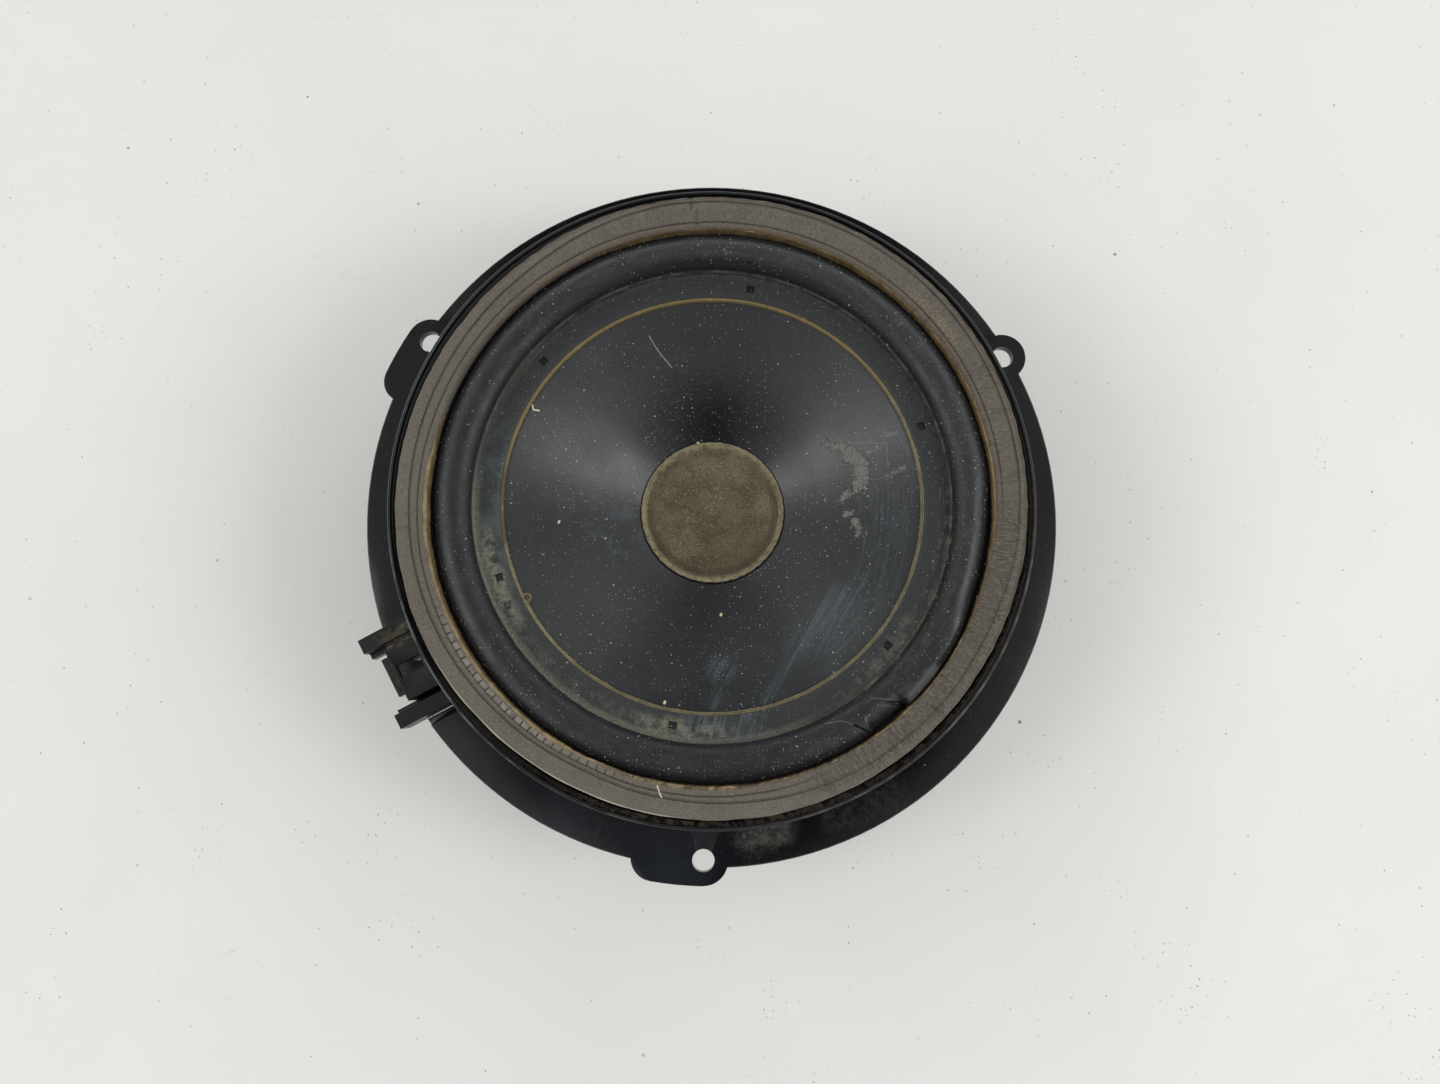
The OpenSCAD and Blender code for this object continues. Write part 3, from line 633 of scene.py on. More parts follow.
def cone_smears(s):
    """Marks of wiping in a band at the right, smears at the lower right, a blot below and a painted
    bluish highlight left of the cap.
    """
    arcs = s.ramp(s.noise(1, 4, 0.65, s.polar(5, 1500)), 0.4, 0.66)
    band = s.ring(43.5, 3.5, 3.0) * s.sector(335, 24, 16) * arcs * 0.15
    edge = s.strokes(0.05, 1.1, (36.7, 2.0), (37.3, -9.8), (36.4, -20.3)) * arcs * 0.22
    down = s.ramp(s.noise(1, 4, 0.65, s.tilted(60, 0.02, 0.0007)), 0.34, 0.68)
    fan = s.near(s.reach((31.5, -24.0), (22.5, -33.5)), 1.2, 6.0) * down * 0.26
    tails = (s.most(s.strokes(0.3, 1.5, (21.5, -33.5), (12.6, -47.3)),
                    s.strokes(0.3, 2.2, (32.7, -22), (27.7, -41.2)) * 0.6) * down * 0.24)
    blot = (s.most(s.near(s.reach((2.0, -40.2)), 1.6, 3.4),
                   s.strokes(0.1, 1.6, (2.0, -41.1), (0.3, -48.7))) * down * 0.26)
    # painted highlight: a bluish patch left of the cap, in the colour of the smears
    left = s.near(s.reach((-24, -2)), 4, 13) * s.ramp(s.noise(0.004, 4, 0.7), 0.45, 0.7) * 0.16
    smears_and_highlight = s.most(band, edge, fan, tails, blot, left)
    s.paint(smears_and_highlight, 104, 120, 128)


def cone_scuffs(s):
    """Scuffs at the right that have torn the surface grey, with faint marks beside them."""
    torn = (s.noise(0.0016, 5, 0.75) - 0.5) * (9 * MM)
    scuffs = (((28.6, 16.2), (32.6, 14.9), 0.35), ((34.0, 12.9), (36.6, 10.2), 1.5),
              ((36.9, 8.6), (36.4, 5.4), 1.3), ((35.6, 4.6), (32.6, 2.4), 0.7),
              ((34.2, -1.6), (36.2, -6.6), 0.55))
    scuff = s.most(*(s.near(s.reach(a, b) + torn, half, 0.5) for a, b, half in scuffs))
    s.paint(scuff * s.patches(0.0005, 0.3, 0.6, 0.45, 0.9), 122, 121, 115)
    small = (s.noise(0.001, 5, 0.75) - 0.5) * (5 * MM)
    faint = s.most(s.near(s.reach((43.2, 7.2), (46.9, 8.8)) + small, 0.15, 0.3),
                   s.near(s.reach((38.0, 12.8), (41.0, 14.0)) + small, 0.02, 0.3),
                   s.near(s.reach((42.1, 16.8), (44.8, 17.2)) + small, 0.05, 0.3))
    lines = s.most(s.strokes(0.06, 0.15, (33.7, 15.9), (42.6, 15.0), (43.0, 8.9)),
                   s.strokes(0.04, 0.12, (45.7, 15.7), (48.0, 11.8)),
                   s.strokes(0.04, 0.12, (37.6, 7.0), (39.8, 6.2), (43.2, 6.9)))
    s.paint(s.most(faint, lines * 0.45) * 0.55, 112, 114, 112)
    return scuff


def cone_scratches(s):
    """A scratch and a swirl at the upper left, short scratches all over and two pale chips."""
    scratch = s.strokes(0.04, 0.12, (-15.8, 42.2), (-14.4, 40.1), (-13.5, 38.8), (-10.2, 35.3))
    s.paint(scratch * 0.8, 160, 156, 140)
    swirl = s.ramp(s.noise(1, 4, 0.7, s.polar(7, 1500)), 0.55, 0.7) * s.near(s.reach((-6, 25)), 8, 12)
    s.paint(swirl * 0.16, 120, 122, 122)
    for degrees, share in ((128, 0.16), (47, 0.08)):
        short = s.specks(1, share, 0.12, s.tilted(degrees, 0.009, 0.0011))
        s.paint(short * 0.3, 130, 134, 136)
    chips = s.most(s.strokes(0.12, 0.1, (-43.9, 23.9), (-43.7, 22.8), (-42.4, 22.7)),
                   s.near(s.reach((-3.7, 17.9)), 0.25, 0.2))
    s.paint(chips, 206, 200, 178)


def cone_material():
    s = Shade("cone_plastic", specular_ior_level=0.42)
    cloud = s.noise(0.03)
    s.base = s.mix(cloud, colour(14, 16, 18), colour(22, 24, 27))
    # fine marks left by wiping
    brushed = s.noise(1, 4, 0.6, s.tilted(125, 0.02, 0.0009))
    s.paint(s.ramp(brushed, 0.58, 0.74) * 0.08, 110, 114, 116)
    dull = s.ring(45.0, 6.0, 17.0) * s.most(s.sector(75, 45, 30), s.sector(262, 46, 30) * 0.62)
    s.paint(dull * s.ramp(cloud, 0.3, 0.6, 0.6, 1.0) * 0.62, 60, 62, 63)
    cone_smears(s)
    scuff = cone_scuffs(s)
    cone_scratches(s)
    dusty(s)
    s.feed("Roughness", s.most(s.patches(0.01, 0.3, 0.8, 0.27, 0.36), scuff * 0.8))
    s.feed("Normal", s.bump(brushed + scuff * 3.0, 0.000015))
    return s.done()


def cap_material():
    s = Shade("cap_cloth", roughness=0.85, sheen_weight=0.15, specular_ior_level=0.25)
    cloud = s.ramp(s.noise(0.007, 4, 0.65), 0.34, 0.66)
    s.base = s.mix(cloud, colour(80, 71, 54), colour(106, 96, 75))
    centre = s.near(s.reach((-1, 2)), 5, 7) * s.patches(0.005, 0.35, 0.6) * 0.45
    s.paint(centre, 70, 60, 45)
    grain = s.noise(0.0005, 3, 0.7)
    s.paint(s.ramp(grain, 0.53, 0.7) * 0.65, 148, 138, 108)
    s.paint(s.ramp(grain, 0.47, 0.32) * 0.6, 44, 38, 28)
    shade = s.near(s.reach((6, -9)), 4, 9) * 0.3
    s.paint(shade, 52, 45, 33)
    edge = s.ring(17.3, 0.5, 0.8) * s.ramp(s.noise(0.0012, 4, 0.7), 0.3, 0.62)
    s.paint(edge * 0.75, 148, 139, 110)
    # painted shade in the dip round the foot of the dome, most at the bottom
    valley = s.ring(15.7, 0.3, 0.9) * s.sector(280, 90, 50)
    s.paint(valley * 0.4, 54, 47, 35)
    s.feed("Normal", s.bump(grain, 0.0002))
    return s.done()


def woven(s, pitch):
    """Height of a plain weave in the front plane."""
    u = s.math("SINE", s.x * (2 * math.pi / pitch))
    v = s.math("SINE", s.y * (2 * math.pi / pitch))
    return s.most(abs(u), abs(v))


def spider_material():
    s = Shade("spider_cloth", roughness=0.75)
    weave = woven(s, 0.0011)
    cloud = s.noise(0.01)
    s.base = s.mix(cloud, colour(172, 142, 88), colour(196, 166, 110))
    s.paint(s.ramp(weave, 0.75, 0.35), 104, 80, 44)
    s.feed("Normal", s.bump(weave, 0.00015))
    return s.done()


def metal_material(name, light, dark, roughness, grain=0.00002):
    s = Shade(name, metallic=1.0)
    cloud = s.noise(0.012, 4, 0.6)
    s.base = s.mix(cloud, colour(*light), colour(*dark))
    s.feed("Roughness", s.ramp(cloud, 0.25, 0.75, roughness - 0.08, roughness + 0.1))
    s.feed("Normal", s.bump(s.noise(0.0007), grain))
    return s.done()


def copper_material(name, roughness):
    s = Shade(name, metallic=1.0)
    cloud = s.noise(0.002)
    s.base = s.mix(cloud, colour(176, 104, 66), colour(206, 140, 96))
    s.feed("Roughness", s.ramp(cloud, 0.3, 0.7, roughness, roughness + 0.15))
    return s.done()


def ferrite_material():
    s = Shade("ferrite")
    cloud = s.noise(0.008, 4, 0.6)
    s.base = s.mix(cloud, colour(40, 40, 42), colour(56, 56, 58))
    s.paint(s.specks(0.0012, 0.4, 0.2) * 0.5, 80, 80, 82)
    s.feed("Roughness", s.ramp(cloud, 0.3, 0.7, 0.5, 0.7))
    s.feed("Normal", s.bump(s.noise(0.0006, 4, 0.7), 0.00012))
    return s.done()


# ---- Shapes ----

def arc(centre, radius, start, end, steps):
    """Points of a circular arc in the (radius, height) plane, with its ends, angles in degrees."""
    turns = np.radians(np.linspace(start, end, steps + 1))
    return [(centre[0] + radius * math.cos(t), centre[1] + radius * math.sin(t)) for t in turns]


def line(start, end, steps):
    """Points of a straight line, with its start and without its end."""
    shares = np.arange(steps) / steps
    return [(start[0] + s * (end[0] - start[0]), start[1] + s * (end[1] - start[1])) for s in shares]


def ease(value, start, end):
    share = np.clip((value - start) / (end - start), 0, 1)
    return share * share * (3 - 2 * share)


def ripple(angle, seed, waves, count=6):
    """A smooth closed wave round the axis between about -1 and 1, the same at each run."""
    random = np.random.default_rng(seed)
    total = np.zeros_like(angle)
    for turns in random.integers(waves[0], waves[1], count):
        total += np.sin(turns * angle + random.uniform(0, 2 * math.pi))
    return total / math.sqrt(count)


def within(angle, middle, half, soft):
    """1 within half a width of a direction and 0 beyond the soft edge, in degrees."""
    away = np.abs((np.degrees(angle) - middle + 180) % 360 - 180)
    return 1 - ease(away, half, half + soft)


def around(angle, *knots):
    """A value that changes evenly between (direction in degrees, value) pairs round the axis."""
    degrees, values = zip(*knots)
    return np.interp(np.degrees(angle) % 360, degrees, values, period=360)


def finished(mesh, work, material, sharp):
    """The object of a mesh that takes a bmesh's faces and is smooth except at its sharp edges."""
    work.to_mesh(mesh)
    work.free()
    mesh.shade_smooth()
    mesh.set_sharp_from_angle(angle=math.radians(sharp))
    mesh.materials.append(material)
    return linked(mesh.name, mesh)


def mesh_object(name, points, faces, material, sharp=40):
    mesh = bpy.data.meshes.new(name)
    mesh.from_pydata([tuple(p) for p in points], [], faces)
    work = bmesh.new()
    work.from_mesh(mesh)
    bmesh.ops.remove_doubles(work, verts=work.verts, dist=1e-7)
    bmesh.ops.recalc_face_normals(work, faces=work.faces)
    return finished(mesh, work, material, sharp)


def lathe_mesh(outline, angles, shape=None):
    """Points and faces of a closed (radius, height) outline in mm, carried round the axis.

    shape(radius, height, angle) may return the radii and heights changed from turn to turn.
    """
    outline = np.array(outline)
    if isinstance(angles, int):
        angles = np.arange(angles) * 2 * math.pi / angles
    radius, angle = np.meshgrid(outline[:, 0], angles)
    height = np.meshgrid(outline[:, 1], angles)[0]
    if shape:
        radius, height = shape(radius, height, angle)
    points = np.stack([radius * np.cos(angle), radius * np.sin(angle), height], axis=2) * MM
    turns, count = radius.shape
    here = np.arange(turns * count).reshape(turns, count)
    after = np.roll(here, -1, axis=0)
    faces = np.stack([here, np.roll(here, -1, 1), np.roll(after, -1, 1), after], axis=2)
    return points.reshape(-1, 3), faces.reshape(-1, 4)


def lathe(name, outline, angles, material, shape=None, sharp=40):
    points, faces = lathe_mesh(outline, angles, shape)
    return mesh_object(name, points, faces.tolist(), material, sharp)


def path_frame(path, hint):
    """Two unit vectors at right angles to a path at each of its points."""
    along = np.gradient(path, axis=0)
    along /= np.linalg.norm(along, axis=1, keepdims=True)
    side = np.cross(along, hint)
    side /= np.linalg.norm(side, axis=1, keepdims=True)
    return side, np.cross(along, side)


def tube_mesh(path, radius, sides=8):
    """Points and faces of a round closed tube along a list of points in metres."""
    path = np.array(path)
    side, up = path_frame(path, (0.3, 0.2, 1.0))
    turns = np.arange(sides) * 2 * math.pi / sides
    rings = path[:, None] + radius * (np.cos(turns)[None, :, None] * side[:, None]
                                      + np.sin(turns)[None, :, None] * up[:, None])
    here = np.arange(len(path) * sides).reshape(len(path), sides)
    walls = np.stack([here[:-1], np.roll(here[:-1], -1, 1), np.roll(here[1:], -1, 1), here[1:]], axis=2)
    ends = [here[0, ::-1].tolist(), here[-1].tolist()]
    return rings.reshape(-1, 3), walls.reshape(-1, 4).tolist() + ends


def together(parts):
    """One list of points and one of faces from several."""
    points, faces, count = [], [], 0
    for some_points, some_faces in parts:
        points.append(some_points)
        faces += [[count + k for k in face] for face in some_faces]
        count += len(some_points)
    return np.concatenate(points), faces


def show(obj, body, node):
    """Puts a piece on its body in place of a CAD piece."""
    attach(obj, body)
    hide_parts(node)


def bend_by_radius(obj, node):
    """Bakes a ring's placement into its mesh and hides the CAD piece that it replaces; the points are
    laid flat by radius and then put back as they were.
    """
    vertices = obj.data.vertices
    places = np.empty(len(vertices) * 3)
    vertices.foreach_get("co", places)
    laid = places.reshape(-1, 3).copy()
    laid[:, 0] = np.hypot(laid[:, 0], laid[:, 1])
    laid[:, 1:] = 0
    vertices.foreach_set("co", laid.ravel())
    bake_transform(obj)
    vertices.foreach_set("co", places)
    obj.data.update()
    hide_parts(node)


def softened(node, name):
    """A copy of a moulded CAD piece of the chassis whose sharp edges are slightly rounded."""
    edge_width, flat_angle, crease_angle, smooth_below = 0.2, 1, 35, 18
    work = bmesh.new()
    work.from_mesh(nodes[node].data)
    work.transform(nodes[node].matrix_world)
    bmesh.ops.remove_doubles(work, verts=work.verts, dist=1e-6)
    bmesh.ops.dissolve_limit(work, angle_limit=math.radians(flat_angle),
                             verts=work.verts, edges=work.edges)
    sharp = [edge for edge in work.edges
             if len(edge.link_faces) == 2 and edge.calc_face_angle() > math.radians(crease_angle)]
    bmesh.ops.bevel(work, geom=sharp, offset=edge_width * MM, offset_type="OFFSET", segments=2,
                    profile=0.5, affect="EDGES", clamp_overlap=True)
    bmesh.ops.triangulate(work, faces=[face for face in work.faces if len(face.verts) > 4])
    copy = finished(bpy.data.meshes.new(name), work, SLOT_MATERIALS[node], smooth_below)
    show(copy, "chassis", node)


make_camera()
make_lights()

floor_half = 3
corners = [(x * floor_half, y * floor_half, 0) for x, y in ((-1, -1), (1, -1), (1, 1), (-1, 1))]
floor = mesh_object("floor", corners, [(0, 1, 2, 3)], floor_material())
floor.location = (0, 0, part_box("yoke")[0].z)

SLOT_MATERIALS = {
    "basket": basket_material(),
    "connector_housing": connector_material(),
    "spider_adhesive": glue_material("dark_adhesive", (52, 42, 30), (36, 28, 20)),
    "dust_cap_adhesive": glue_material("cap_adhesive", (150, 128, 84), (110, 90, 56)),
    "neck_adhesive": glue_material("neck_adhesive", (48, 38, 28), (32, 26, 20)),
    "magnet_adhesive": glue_material("magnet_adhesive", (130, 108, 68), (96, 78, 48)),
    "voice_coil_former": metal_material("former_foil", (176, 176, 172), (150, 150, 148), 0.4),
    "lead_solder_joints": metal_material("solder", (190, 190, 188), (160, 160, 160), 0.35),
    "contact_pin_positive": metal_material("pin_metal", (206, 202, 188), (180, 176, 164), 0.3),
    "contact_pin_negative": bpy.data.materials["pin_metal"],
    "front_plate": metal_material("motor_steel", (172, 170, 160), (146, 145, 138), 0.42),
    "yoke": bpy.data.materials["motor_steel"],
    "motor_rivets": bpy.data.materials["motor_steel"],
    "magnet": ferrite_material(),
}
for node, material in SLOT_MATERIALS.items():
    for slot in nodes[node].material_slots:
        slot.material = material

softened("basket", "basket_body")
softened("connector_housing", "connector_body")


# ---- Gasket and its glue ----

gasket_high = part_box("front_gasket")[1] / MM
glue_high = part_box("gasket_adhesive")[1] / MM
lip_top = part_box("front_gasket")[0].z / MM
GASKET_OUT = gasket_high.x
GASKET_IN = glue_high.x
GASKET_TOP = gasket_high.z
GASKET_DISH = 0.6
gasket_width = GASKET_OUT - GASKET_IN

# How far the strip's two edges lie outside their drawn radii, in mm, by direction
INNER_EDGE = ((0, -0.1), (60, 0), (125, -0.4), (150, 0), (172, 0.45), (190, 0.75), (208, 0.4), (225, 0),
              (238, -0.35), (246, -0.8), (256, -0.3), (270, 0), (320, -0.2), (345, -0.6))
OUTER_EDGE = ((0, 0.1), (15, 0.35), (45, 0.6), (95, 0.6), (118, 0.3), (128, -0.15), (150, -0.2),
              (180, 0.35), (205, 0.45), (225, -0.15), (245, -0.4), (268, -0.15), (280, 0), (300, -0.2),
              (325, -0.4), (338, -0.25), (350, 0.1))
# Where the outer groove runs, as a share of the strip's width from its outer edge
GROOVE = ((0, 0.24), (60, 0.16), (100, 0.16), (130, 0.37), (180, 0.47), (210, 0.52), (240, 0.60),
          (270, 0.55), (300, 0.40), (330, 0.38))
PAD_COUNT = 192


def make_gasket():
    angles = np.radians(np.arange(0, 360, 0.2))
    top = line((GASKET_OUT, GASKET_TOP), (GASKET_IN, GASKET_TOP - GASKET_DISH), 64)
    outline = (line((GASKET_IN, lip_top), (GASKET_OUT, lip_top), 3)
               + line((GASKET_OUT, lip_top), (GASKET_OUT, GASKET_TOP), 6) + top
               + line((GASKET_IN, GASKET_TOP - GASKET_DISH), (GASKET_IN, lip_top), 8))

    def groove(share, middle, width):
        return np.exp(-(((share - middle) / width) ** 2))

    def shape(radius, height, angle):
        share = (GASKET_OUT - radius) / gasket_width
        tall = ease(height, lip_top + 2.0, GASKET_TOP - 0.7)
        inward, outward = around(angle, *INNER_EDGE), around(angle, *OUTER_EDGE)
        over_roll = np.where(inward < 0, ease(height, lip_top + 1.9, lip_top + 2.6), 1)
        over_step = np.where(outward > 0, ease(height, lip_top + 2.2, lip_top + 2.9), 1)
        radius = radius + inward * over_roll * share + outward * over_step * (1 - share)
        radius = radius + 0.07 * tall * (1 - 2 * share) * ripple(angle, 3, (20, 110))
        edge_drop = 0.5 * np.maximum(1 - share / 0.06, 0) ** 2 + 0.5 * np.maximum(
            (share - 0.90) / 0.10, 0) ** 2
        wander = 0.012 * ripple(angle, 5, (3, 22))
        main = around(angle, *GROOVE) + wander
        sink = 0.22 * groove(share, main, 0.018) + 0.10 * groove(share, main + 0.052, 0.012)
        second = 0.79 + 0.04 * np.cos(angle - math.radians(60)) + wander
        sink += 0.20 * groove(share, second, 0.026) * (1 - 0.9 * within(angle, 315, 30, 15))
        # a row of pressed marks between the inner groove and the glue, at the lower left
        rung = ease(np.abs((angle * PAD_COUNT / (2 * math.pi) + 0.25) % 1 - 0.5), 0.38, 0.47)
        row = ease(share, 0.74, 0.77) * (1 - ease(share, 0.92, 0.95))
        sink += (0.20 * rung - 0.10) * row * within(angle, 231, 24, 5)
        # the joint between the strip's two ends, and a few small cuts
        for middle, start, end, width in ((94.2, 0.0, 0.42, 0.25), (93.2, 0.45, 1.0, 0.25),
                                          (185.8, 0.0, 0.42, 0.25), (305.5, 0.35, 0.7, 0.25),
                                          (316.0, 0.3, 0.55, 0.25)):
            cut = within(angle, middle, width / 2, width)
            cut = cut * ease(share, start - 0.03, start) * (1 - ease(share, end, end + 0.03))
            sink += 0.35 * cut
        swell = 0.06 * ripple(angle, 9, (2, 40))
        return radius, height + tall * (swell - sink - edge_drop)

    ring = lathe("gasket_ring", outline, angles, foam_material(), shape, 60)
    show(ring, "chassis", "front_gasket")


def make_gasket_glue():
    crest = GASKET_TOP - 1.6
    outline = [(GASKET_IN + 0.3, lip_top), (GASKET_IN + 0.3, crest + 0.2)]
    outline += arc((GASKET_IN - 0.05, crest - 0.1), 0.36, 60, 200, 8)
    outline += [(GASKET_IN - 0.5, lip_top + 0.6), (GASKET_IN - 0.55, lip_top)]

    def shape(radius, height, angle):
        uneven = ripple(angle, 21, (8, 60)) + 0.6 * ripple(angle, 22, (80, 260))
        inside = ease(GASKET_IN - radius, -0.2, 0.4)
        high = ease(height, lip_top + 0.3, crest)
        reach = around(angle, (10, 0.0), (30, -0.25), (108, -0.25), (120, -0.7), (158, -0.7),
                       (172, 0.12), (225, 0.10), (262, 0.2), (285, 0), (350, -0.05))
        edge = around(angle, *INNER_EDGE)
        shift = np.maximum(edge, 0) + 0.4 * np.minimum(edge, 0) * high
        return radius + shift - inside * (reach + 0.07 * uneven), height + high * (
            0.10 * ripple(angle, 23, (10, 140)) + 0.7 * ease(reach, 0.0, 0.15))

    bead = lathe("gasket_glue_bead", outline, 1080, gasket_glue_material(), shape)
    show(bead, "chassis", "gasket_adhesive")


# ---- Surround ----

SURROUND_T = 0.6
ROLL_R = 61.8
ROLL_SECTION = 4.9
surround_low, surround_high = (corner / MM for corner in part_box("surround"))
LANDING_TOP = surround_low.z + SURROUND_T
ROLL_Z = surround_low.z + 0.3
LIP_END = surround_high.x
EDGE_GLUE_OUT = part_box("cone_edge_adhesive")[1].x / MM
DIMPLE_R = 53.9
DIMPLE_HALF = 0.85
DIMPLE_TURN = 20


def make_surround():
    landing_in = EDGE_GLUE_OUT + 0.02
    outer_start = math.degrees(math.asin((lip_top - ROLL_Z) / ROLL_SECTION))
    inner_start = 180 - math.degrees(math.asin((LANDING_TOP - ROLL_Z) / ROLL_SECTION))
    corner = 0.05
    edges = [DIMPLE_R - DIMPLE_HALF - corner, DIMPLE_R - DIMPLE_HALF, DIMPLE_R + DIMPLE_HALF,
             DIMPLE_R + DIMPLE_HALF + corner]
    roll_top = arc((ROLL_R, ROLL_Z), ROLL_SECTION, inner_start, outer_start, 48)
    roll_under = arc((ROLL_R, ROLL_Z), ROLL_SECTION - SURROUND_T, 8, 176, 24)
    outline = [(landing_in, LANDING_TOP - 0.1), (landing_in + 0.1, LANDING_TOP)]
    outline += [(r, LANDING_TOP) for r in edges] + line((edges[-1] + 0.4, LANDING_TOP), roll_top[0], 6)
    outline += roll_top + [(LIP_END, lip_top), (LIP_END, lip_top - SURROUND_T)]
    outline += [(ROLL_R + ROLL_SECTION - 0.1, lip_top - SURROUND_T)] + roll_under
    outline += [(ROLL_R - ROLL_SECTION + 0.2, LANDING_TOP - SURROUND_T),
                (landing_in, LANDING_TOP - SURROUND_T)]

    half = math.degrees(DIMPLE_HALF / DIMPLE_R)
    steps = [np.arange(0, 360, 0.5), np.arange(300, 306, 0.1), np.arange(307, 330, 0.1)]
    for k in range(6):
        steps.append(DIMPLE_TURN + 60 * k + np.array([-half - 0.05, -half, half, half + 0.05]))
    angles = np.radians(np.unique(np.concatenate(steps).round(3)))

    def shape(radius, height, angle):
        degrees = np.degrees(angle)
        top = height >= LANDING_TOP - 0.001
        away = np.abs((degrees - DIMPLE_TURN + 30) % 60 - 30)
        in_dimple = (away <= half + 0.01) & (np.abs(radius - DIMPLE_R) <= DIMPLE_HALF + 0.01)
        sunk = np.where(in_dimple & top, 0.45, 0)
        # at the lower right the roll is pushed out against the gasket, with a fold at one end
        bulge = ease(degrees, 312.9, 313.6) * (1 - ease(degrees, 325, 341))
        outer = ease(radius, ROLL_R - 1.0, ROLL_R + 3.6) * (1 - ease(
            radius, GASKET_IN - 0.8, GASKET_IN - 0.5))
        start = radius
        radius = radius + bulge * outer * 0.62 * (GASKET_IN - 0.85 - radius)
        height = height + 0.35 * bulge * outer
        dent = np.exp(-(((start - 59.8) / 1.6) ** 2)) * within(angle, 321, 3.5, 3.5)
        gap = within(angle, 308.6, 3.8, 1.0) + 0.8 * within(angle, 348, 8, 10)
        radius = radius - 0.55 * np.minimum(gap, 1) * outer
        height = height - 0.6 * np.minimum(gap, 1) * outer - 0.45 * dent * (height > LANDING_TOP + 0.4)
        fold_at = 312.6 - 0.9 * (ROLL_R + 4 - start)
        fold = (1 - ease(np.abs(degrees - fold_at), 0.2, 1.0)) * ease(
            start, ROLL_R - 0.5, ROLL_R + 3.0)
        slit_at = 301.0 + 0.55 * np.maximum(start - ROLL_R + 0.5, 0)
        slit = (1 - ease(np.abs(degrees - slit_at), 0.1, 0.4)) * ease(
            start, ROLL_R - 0.8, ROLL_R + 0.4)
        marks = (0.8 * fold + 0.5 * slit) * (height > LANDING_TOP + 0.4) * (start < GASKET_IN - 0.6)
        wave = 0.05 * ripple(angle, 31, (3, 24)) * ease(height, LANDING_TOP, LANDING_TOP + 2)
        return radius, height - sunk - marks + wave

    ring = lathe("surround_ring", outline, angles, rubber_material(), shape, 50)
    bend_by_radius(ring,
                   "surround")


# ---- Cone, dust cap and the glue between them ----

cone_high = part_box("cone")[1] / MM
cap_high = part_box("dust_cap")[1] / MM
CAP_R = cap_high.x
CONE_R = EDGE_GLUE_OUT - 0.38
CONE_RIM_Z = cone_high.z
CAP_FOOT_Z = 3.0
CONE_SLOPE = (CONE_RIM_Z - CAP_FOOT_Z) / (CONE_R + 0.1 - CAP_R)
NECK_R = 12.85
CONE_T = 0.75
cap_base_r = CAP_R - 1.5
DROP_R = 49.75
DROP_TURN = 207.8


def cone_front(radius):
    return CAP_FOOT_Z + (radius - CAP_R) * CONE_SLOPE


def make_cone():
    back = CONE_T * 1.1
    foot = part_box("cone")[0].z / MM
    outline = [(NECK_R, foot), (NECK_R + 0.8, foot)]
    outline += line((NECK_R + 0.8, cone_front(NECK_R + 0.8) - back),
                    (CONE_R + 0.5, CONE_RIM_Z - CONE_T), 12)
    outline += [(CONE_R + 0.5, CONE_RIM_Z - CONE_T), (cone_high.x, CONE_RIM_Z - CONE_T),
                (cone_high.x, CONE_RIM_Z)]
    outline += line((CONE_R + 0.1, CONE_RIM_Z), (NECK_R, cone_front(NECK_R)), 40)
    outline += [(NECK_R, cone_front(NECK_R))]

    def shape(radius, height, angle):
        middle = np.sin(np.pi * np.clip((radius - CAP_R) / (CONE_R - CAP_R), 0, 1))
        return radius, height + 0.03 * middle * ripple(angle, 41, (2, 9))

    body = lathe("cone_body", outline, 360, cone_material(), shape)
    show(body, "diaphragm", "cone")


def make_edge_glue():
    """The glue bead round the cone, with the drop of glue that has run out of it at one place."""
    inner = CONE_R - 0.45
    outline = [(EDGE_GLUE_OUT - 0.05, CONE_RIM_Z + 0.02)]
    outline += [(EDGE_GLUE_OUT, LANDING_TOP - 0.1)]
    outline += arc((CONE_R + 0.05, LANDING_TOP - 0.42), 0.47, 55, 165, 8)
    outline += [(inner, cone_front(inner) + 0.02), (CONE_R, CONE_RIM_Z - 0.03)]

    def shape(radius, height, angle):
        front = ease(CONE_R - radius, -0.1, 0.45)
        uneven = ripple(angle, 51, (10, 80)) + 0.7 * ripple(angle, 52, (90, 300))
        top = ease(height, LANDING_TOP - 0.6, LANDING_TOP - 0.1)
        radius = radius - 0.05 * front * uneven
        return radius, np.maximum(height + 0.03 * top * uneven, np.minimum(
            cone_front(radius) + 0.01, height + 1))

    bead = lathe_mesh(outline, 1080, shape)
    foot, lip = CONE_RIM_Z - 0.85, LANDING_TOP - 0.1
    drop = [(0, foot), (1.0, foot), (1.05, lip - 0.3)] + arc((0.92, lip - 0.15), 0.16, 0, 180, 6)
    points, faces = lathe_mesh(drop + [(0.6, lip - 0.4), (0, lip - 0.38)], 32)
    turn = math.radians(DROP_TURN)
    points = points + np.array([DROP_R * math.cos(turn), DROP_R * math.sin(turn), 0]) * MM
    points, faces = together([(bead[0], bead[1].tolist()), (points, faces.tolist())])
    obj = mesh_object("cone_edge_glue_bead", points, faces, edge_glue_material())
    show(obj, "diaphragm", "cone_edge_adhesive")


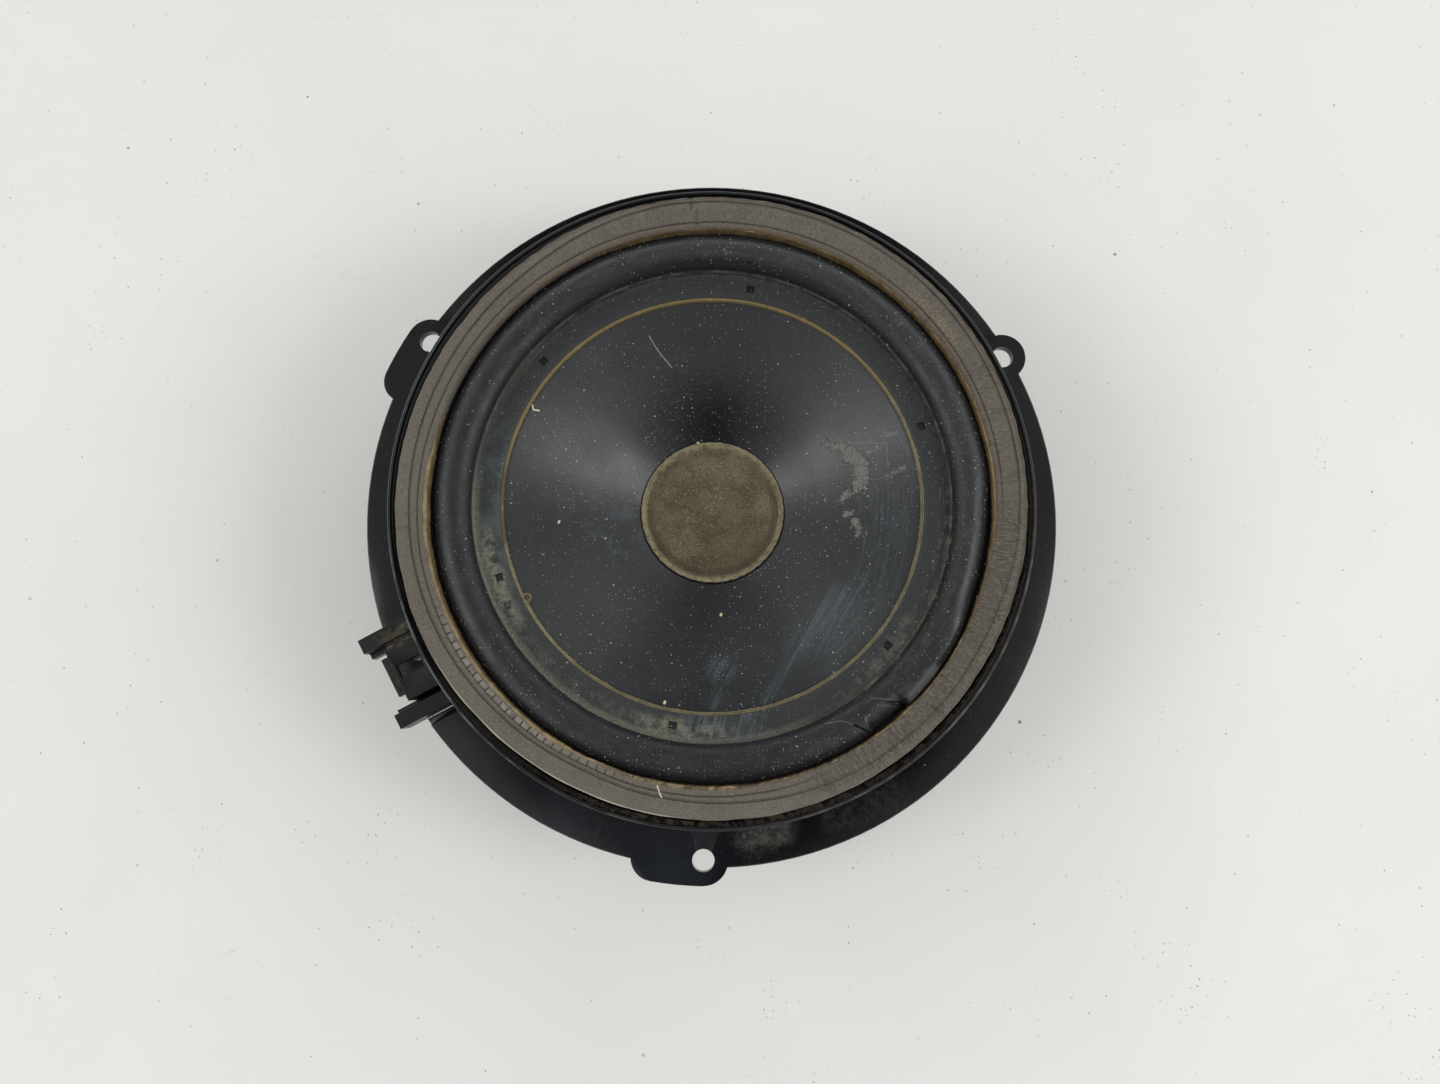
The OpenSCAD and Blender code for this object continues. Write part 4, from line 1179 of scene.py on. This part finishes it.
def make_cap():
    cloth = 0.5
    lift = 0.12
    base = cone_front(cap_base_r) + lift
    rise = cap_high.z - base
    sphere_r = (cap_base_r ** 2 + rise ** 2) / (2 * rise)
    reach = math.degrees(math.asin(cap_base_r / sphere_r))
    centre = (0, base + rise - sphere_r)
    dome = [(radius, height) for radius, height in arc(centre, sphere_r, 90, 90 - reach, 60)]
    under = arc(centre, sphere_r - cloth, 90 - reach, 90, 12)
    outline = dome + [(cap_base_r + 0.25, base + 0.42), (CAP_R - 0.25, cone_front(CAP_R) + lift + 0.5)]
    outline += arc((CAP_R - 0.25, cone_front(CAP_R) + lift + 0.25), 0.25, 80, -60, 5)
    outline += [(cap_base_r + 0.1, base)] + under

    def shape(radius, height, angle):
        crown = ease(CAP_R - radius, 1.6, 6)
        sag = 0.10 * crown * ripple(angle, 61, (1, 4)) * ease(radius, 1, 8)
        valley = 0.14 * np.exp(-(((radius - cap_base_r + 0.2) / 0.7) ** 2)) * within(angle, 285, 85, 50)
        rim = ease(radius, CAP_R - 1.0, CAP_R - 0.1)
        return radius + 0.05 * rim * ripple(angle, 62, (6, 60)), height + sag - valley

    cap = lathe("dust_cap_cloth", outline, 288, cap_material(), shape, 60)
    show(cap, "diaphragm", "dust_cap")


make_gasket()
make_gasket_glue()
make_surround()
make_cone()
make_edge_glue()
make_cap()


# ---- Spider, winding and leads ----

def make_spider():
    low, high = (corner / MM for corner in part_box("spider"))
    middle = (low.z + high.z) / 2
    waves = 5
    thick = 0.45
    wave = (high.z - low.z - thick) / 2
    flat_in, flat_out, inner = 16.0, 36.0, 13.35
    radii = np.concatenate([[inner], np.linspace(flat_in, flat_out, 121), [high.x - 0.01]])
    share = np.clip((radii - flat_in) / (flat_out - flat_in), 0, 1)
    centre = middle + wave * np.sin(2 * math.pi * waves * share)
    upper = list(zip(radii, centre + thick / 2))
    lower = list(zip(radii[::-1], centre[::-1] - thick / 2))
    disc = lathe("spider_cloth_disc", upper + lower, 240, spider_material())
    bend_by_radius(disc, "spider")


def plug_point(out, across, up):
    """A point given outward along the connector's direction, across it and up, in mm."""
    turn = math.radians(PLUG_ANGLE)
    return np.array([out * math.cos(turn) - across * math.sin(turn),
                     out * math.sin(turn) + across * math.cos(turn), up]) * MM


LEAD_TURNS = (-11, 11)


def make_winding():
    """Two layers of enamelled wire, seen as ridges, with two tails that run up to the solder."""
    low, high = (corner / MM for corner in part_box("voice_coil_winding"))
    inside, outside, wound_length = 12.75, 13.3, 12
    bottom, top = low.z, low.z + wound_length
    wire = 0.3
    tail_place, tail_r = 12.95, 0.14
    ridges = []
    for k in range(int((top - bottom) / wire)):
        ridges += arc((outside - wire / 2, bottom + wire * (k + 0.5)), wire / 2, -80, 80, 4)
    outline = [(inside, top), (inside, bottom)] + ridges
    points, faces = lathe_mesh(outline, 180)
    parts = [(points, faces.tolist())]
    for turn in LEAD_TURNS:
        place = math.radians(PLUG_ANGLE + turn)
        x, y = tail_place * MM * math.cos(place), tail_place * MM * math.sin(place)
        heights = np.linspace(top - 0.5, high.z - 0.02, 12) * MM
        parts.append(tube_mesh([(x, y, z) for z in heights], tail_r * MM))
    points, faces = together(parts)
    winding = mesh_object("winding_wire", points, faces, copper_material("copper_wire", 0.3))
    show(winding, "diaphragm", "voice_coil_winding")


def make_lead(name, side, node, material):
    """A braided lead of six twisted strands from a pin's tail to its solder joint on the former."""
    route = np.array([plug_point(*p) for p in (
        (68.4, side * 2.6, 5.1), (66.2, side * 2.6, 5.4), (63.5, side * 2.6, 4.9),
        (59.5, side * 2.7, 3.2), (54, side * 2.9, 1.4), (47, side * 3.1, 0.2), (39, side * 3.2, -0.5),
        (31, side * 3.1, -0.6), (24, side * 3, -0.7), (19.5, side * 2.9, -1.2),
        (16.8, side * 2.83, -1.9), (14.78, side * 2.78, -2.3))])
    steps = np.concatenate([[0], np.cumsum(np.linalg.norm(np.diff(route, axis=0), axis=1))])
    places = np.arange(0, steps[-1], 0.4 * MM)
    path = np.stack([np.interp(places, steps, route[:, k]) for k in range(3)], axis=1)
    for _ in range(12):
        path[1:-1] = (path[:-2] + 2 * path[1:-1] + path[2:]) / 4
    across, up = path_frame(path, (0, 0, 1))
    braid_r, strand_r, lay, count = 0.3, 0.17, 0.6, 6
    strands = []
    for k in range(count):
        twist = places / (lay * MM) + k * 2 * math.pi / count
        strand = path + braid_r * MM * (np.cos(twist)[:, None] * across + np.sin(twist)[:, None] * up)
        strands.append(tube_mesh(strand, strand_r * MM, 6))
    points, faces = together(strands)
    lead = mesh_object(name, points, faces, material)
    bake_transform(lead)
    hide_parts(node)


make_spider()
make_winding()
braid = copper_material("braid_copper", 0.4)
make_lead("lead_braid_positive", 1, "tinsel_lead_positive", braid)
make_lead("lead_braid_negative", -1, "tinsel_lead_negative", braid)
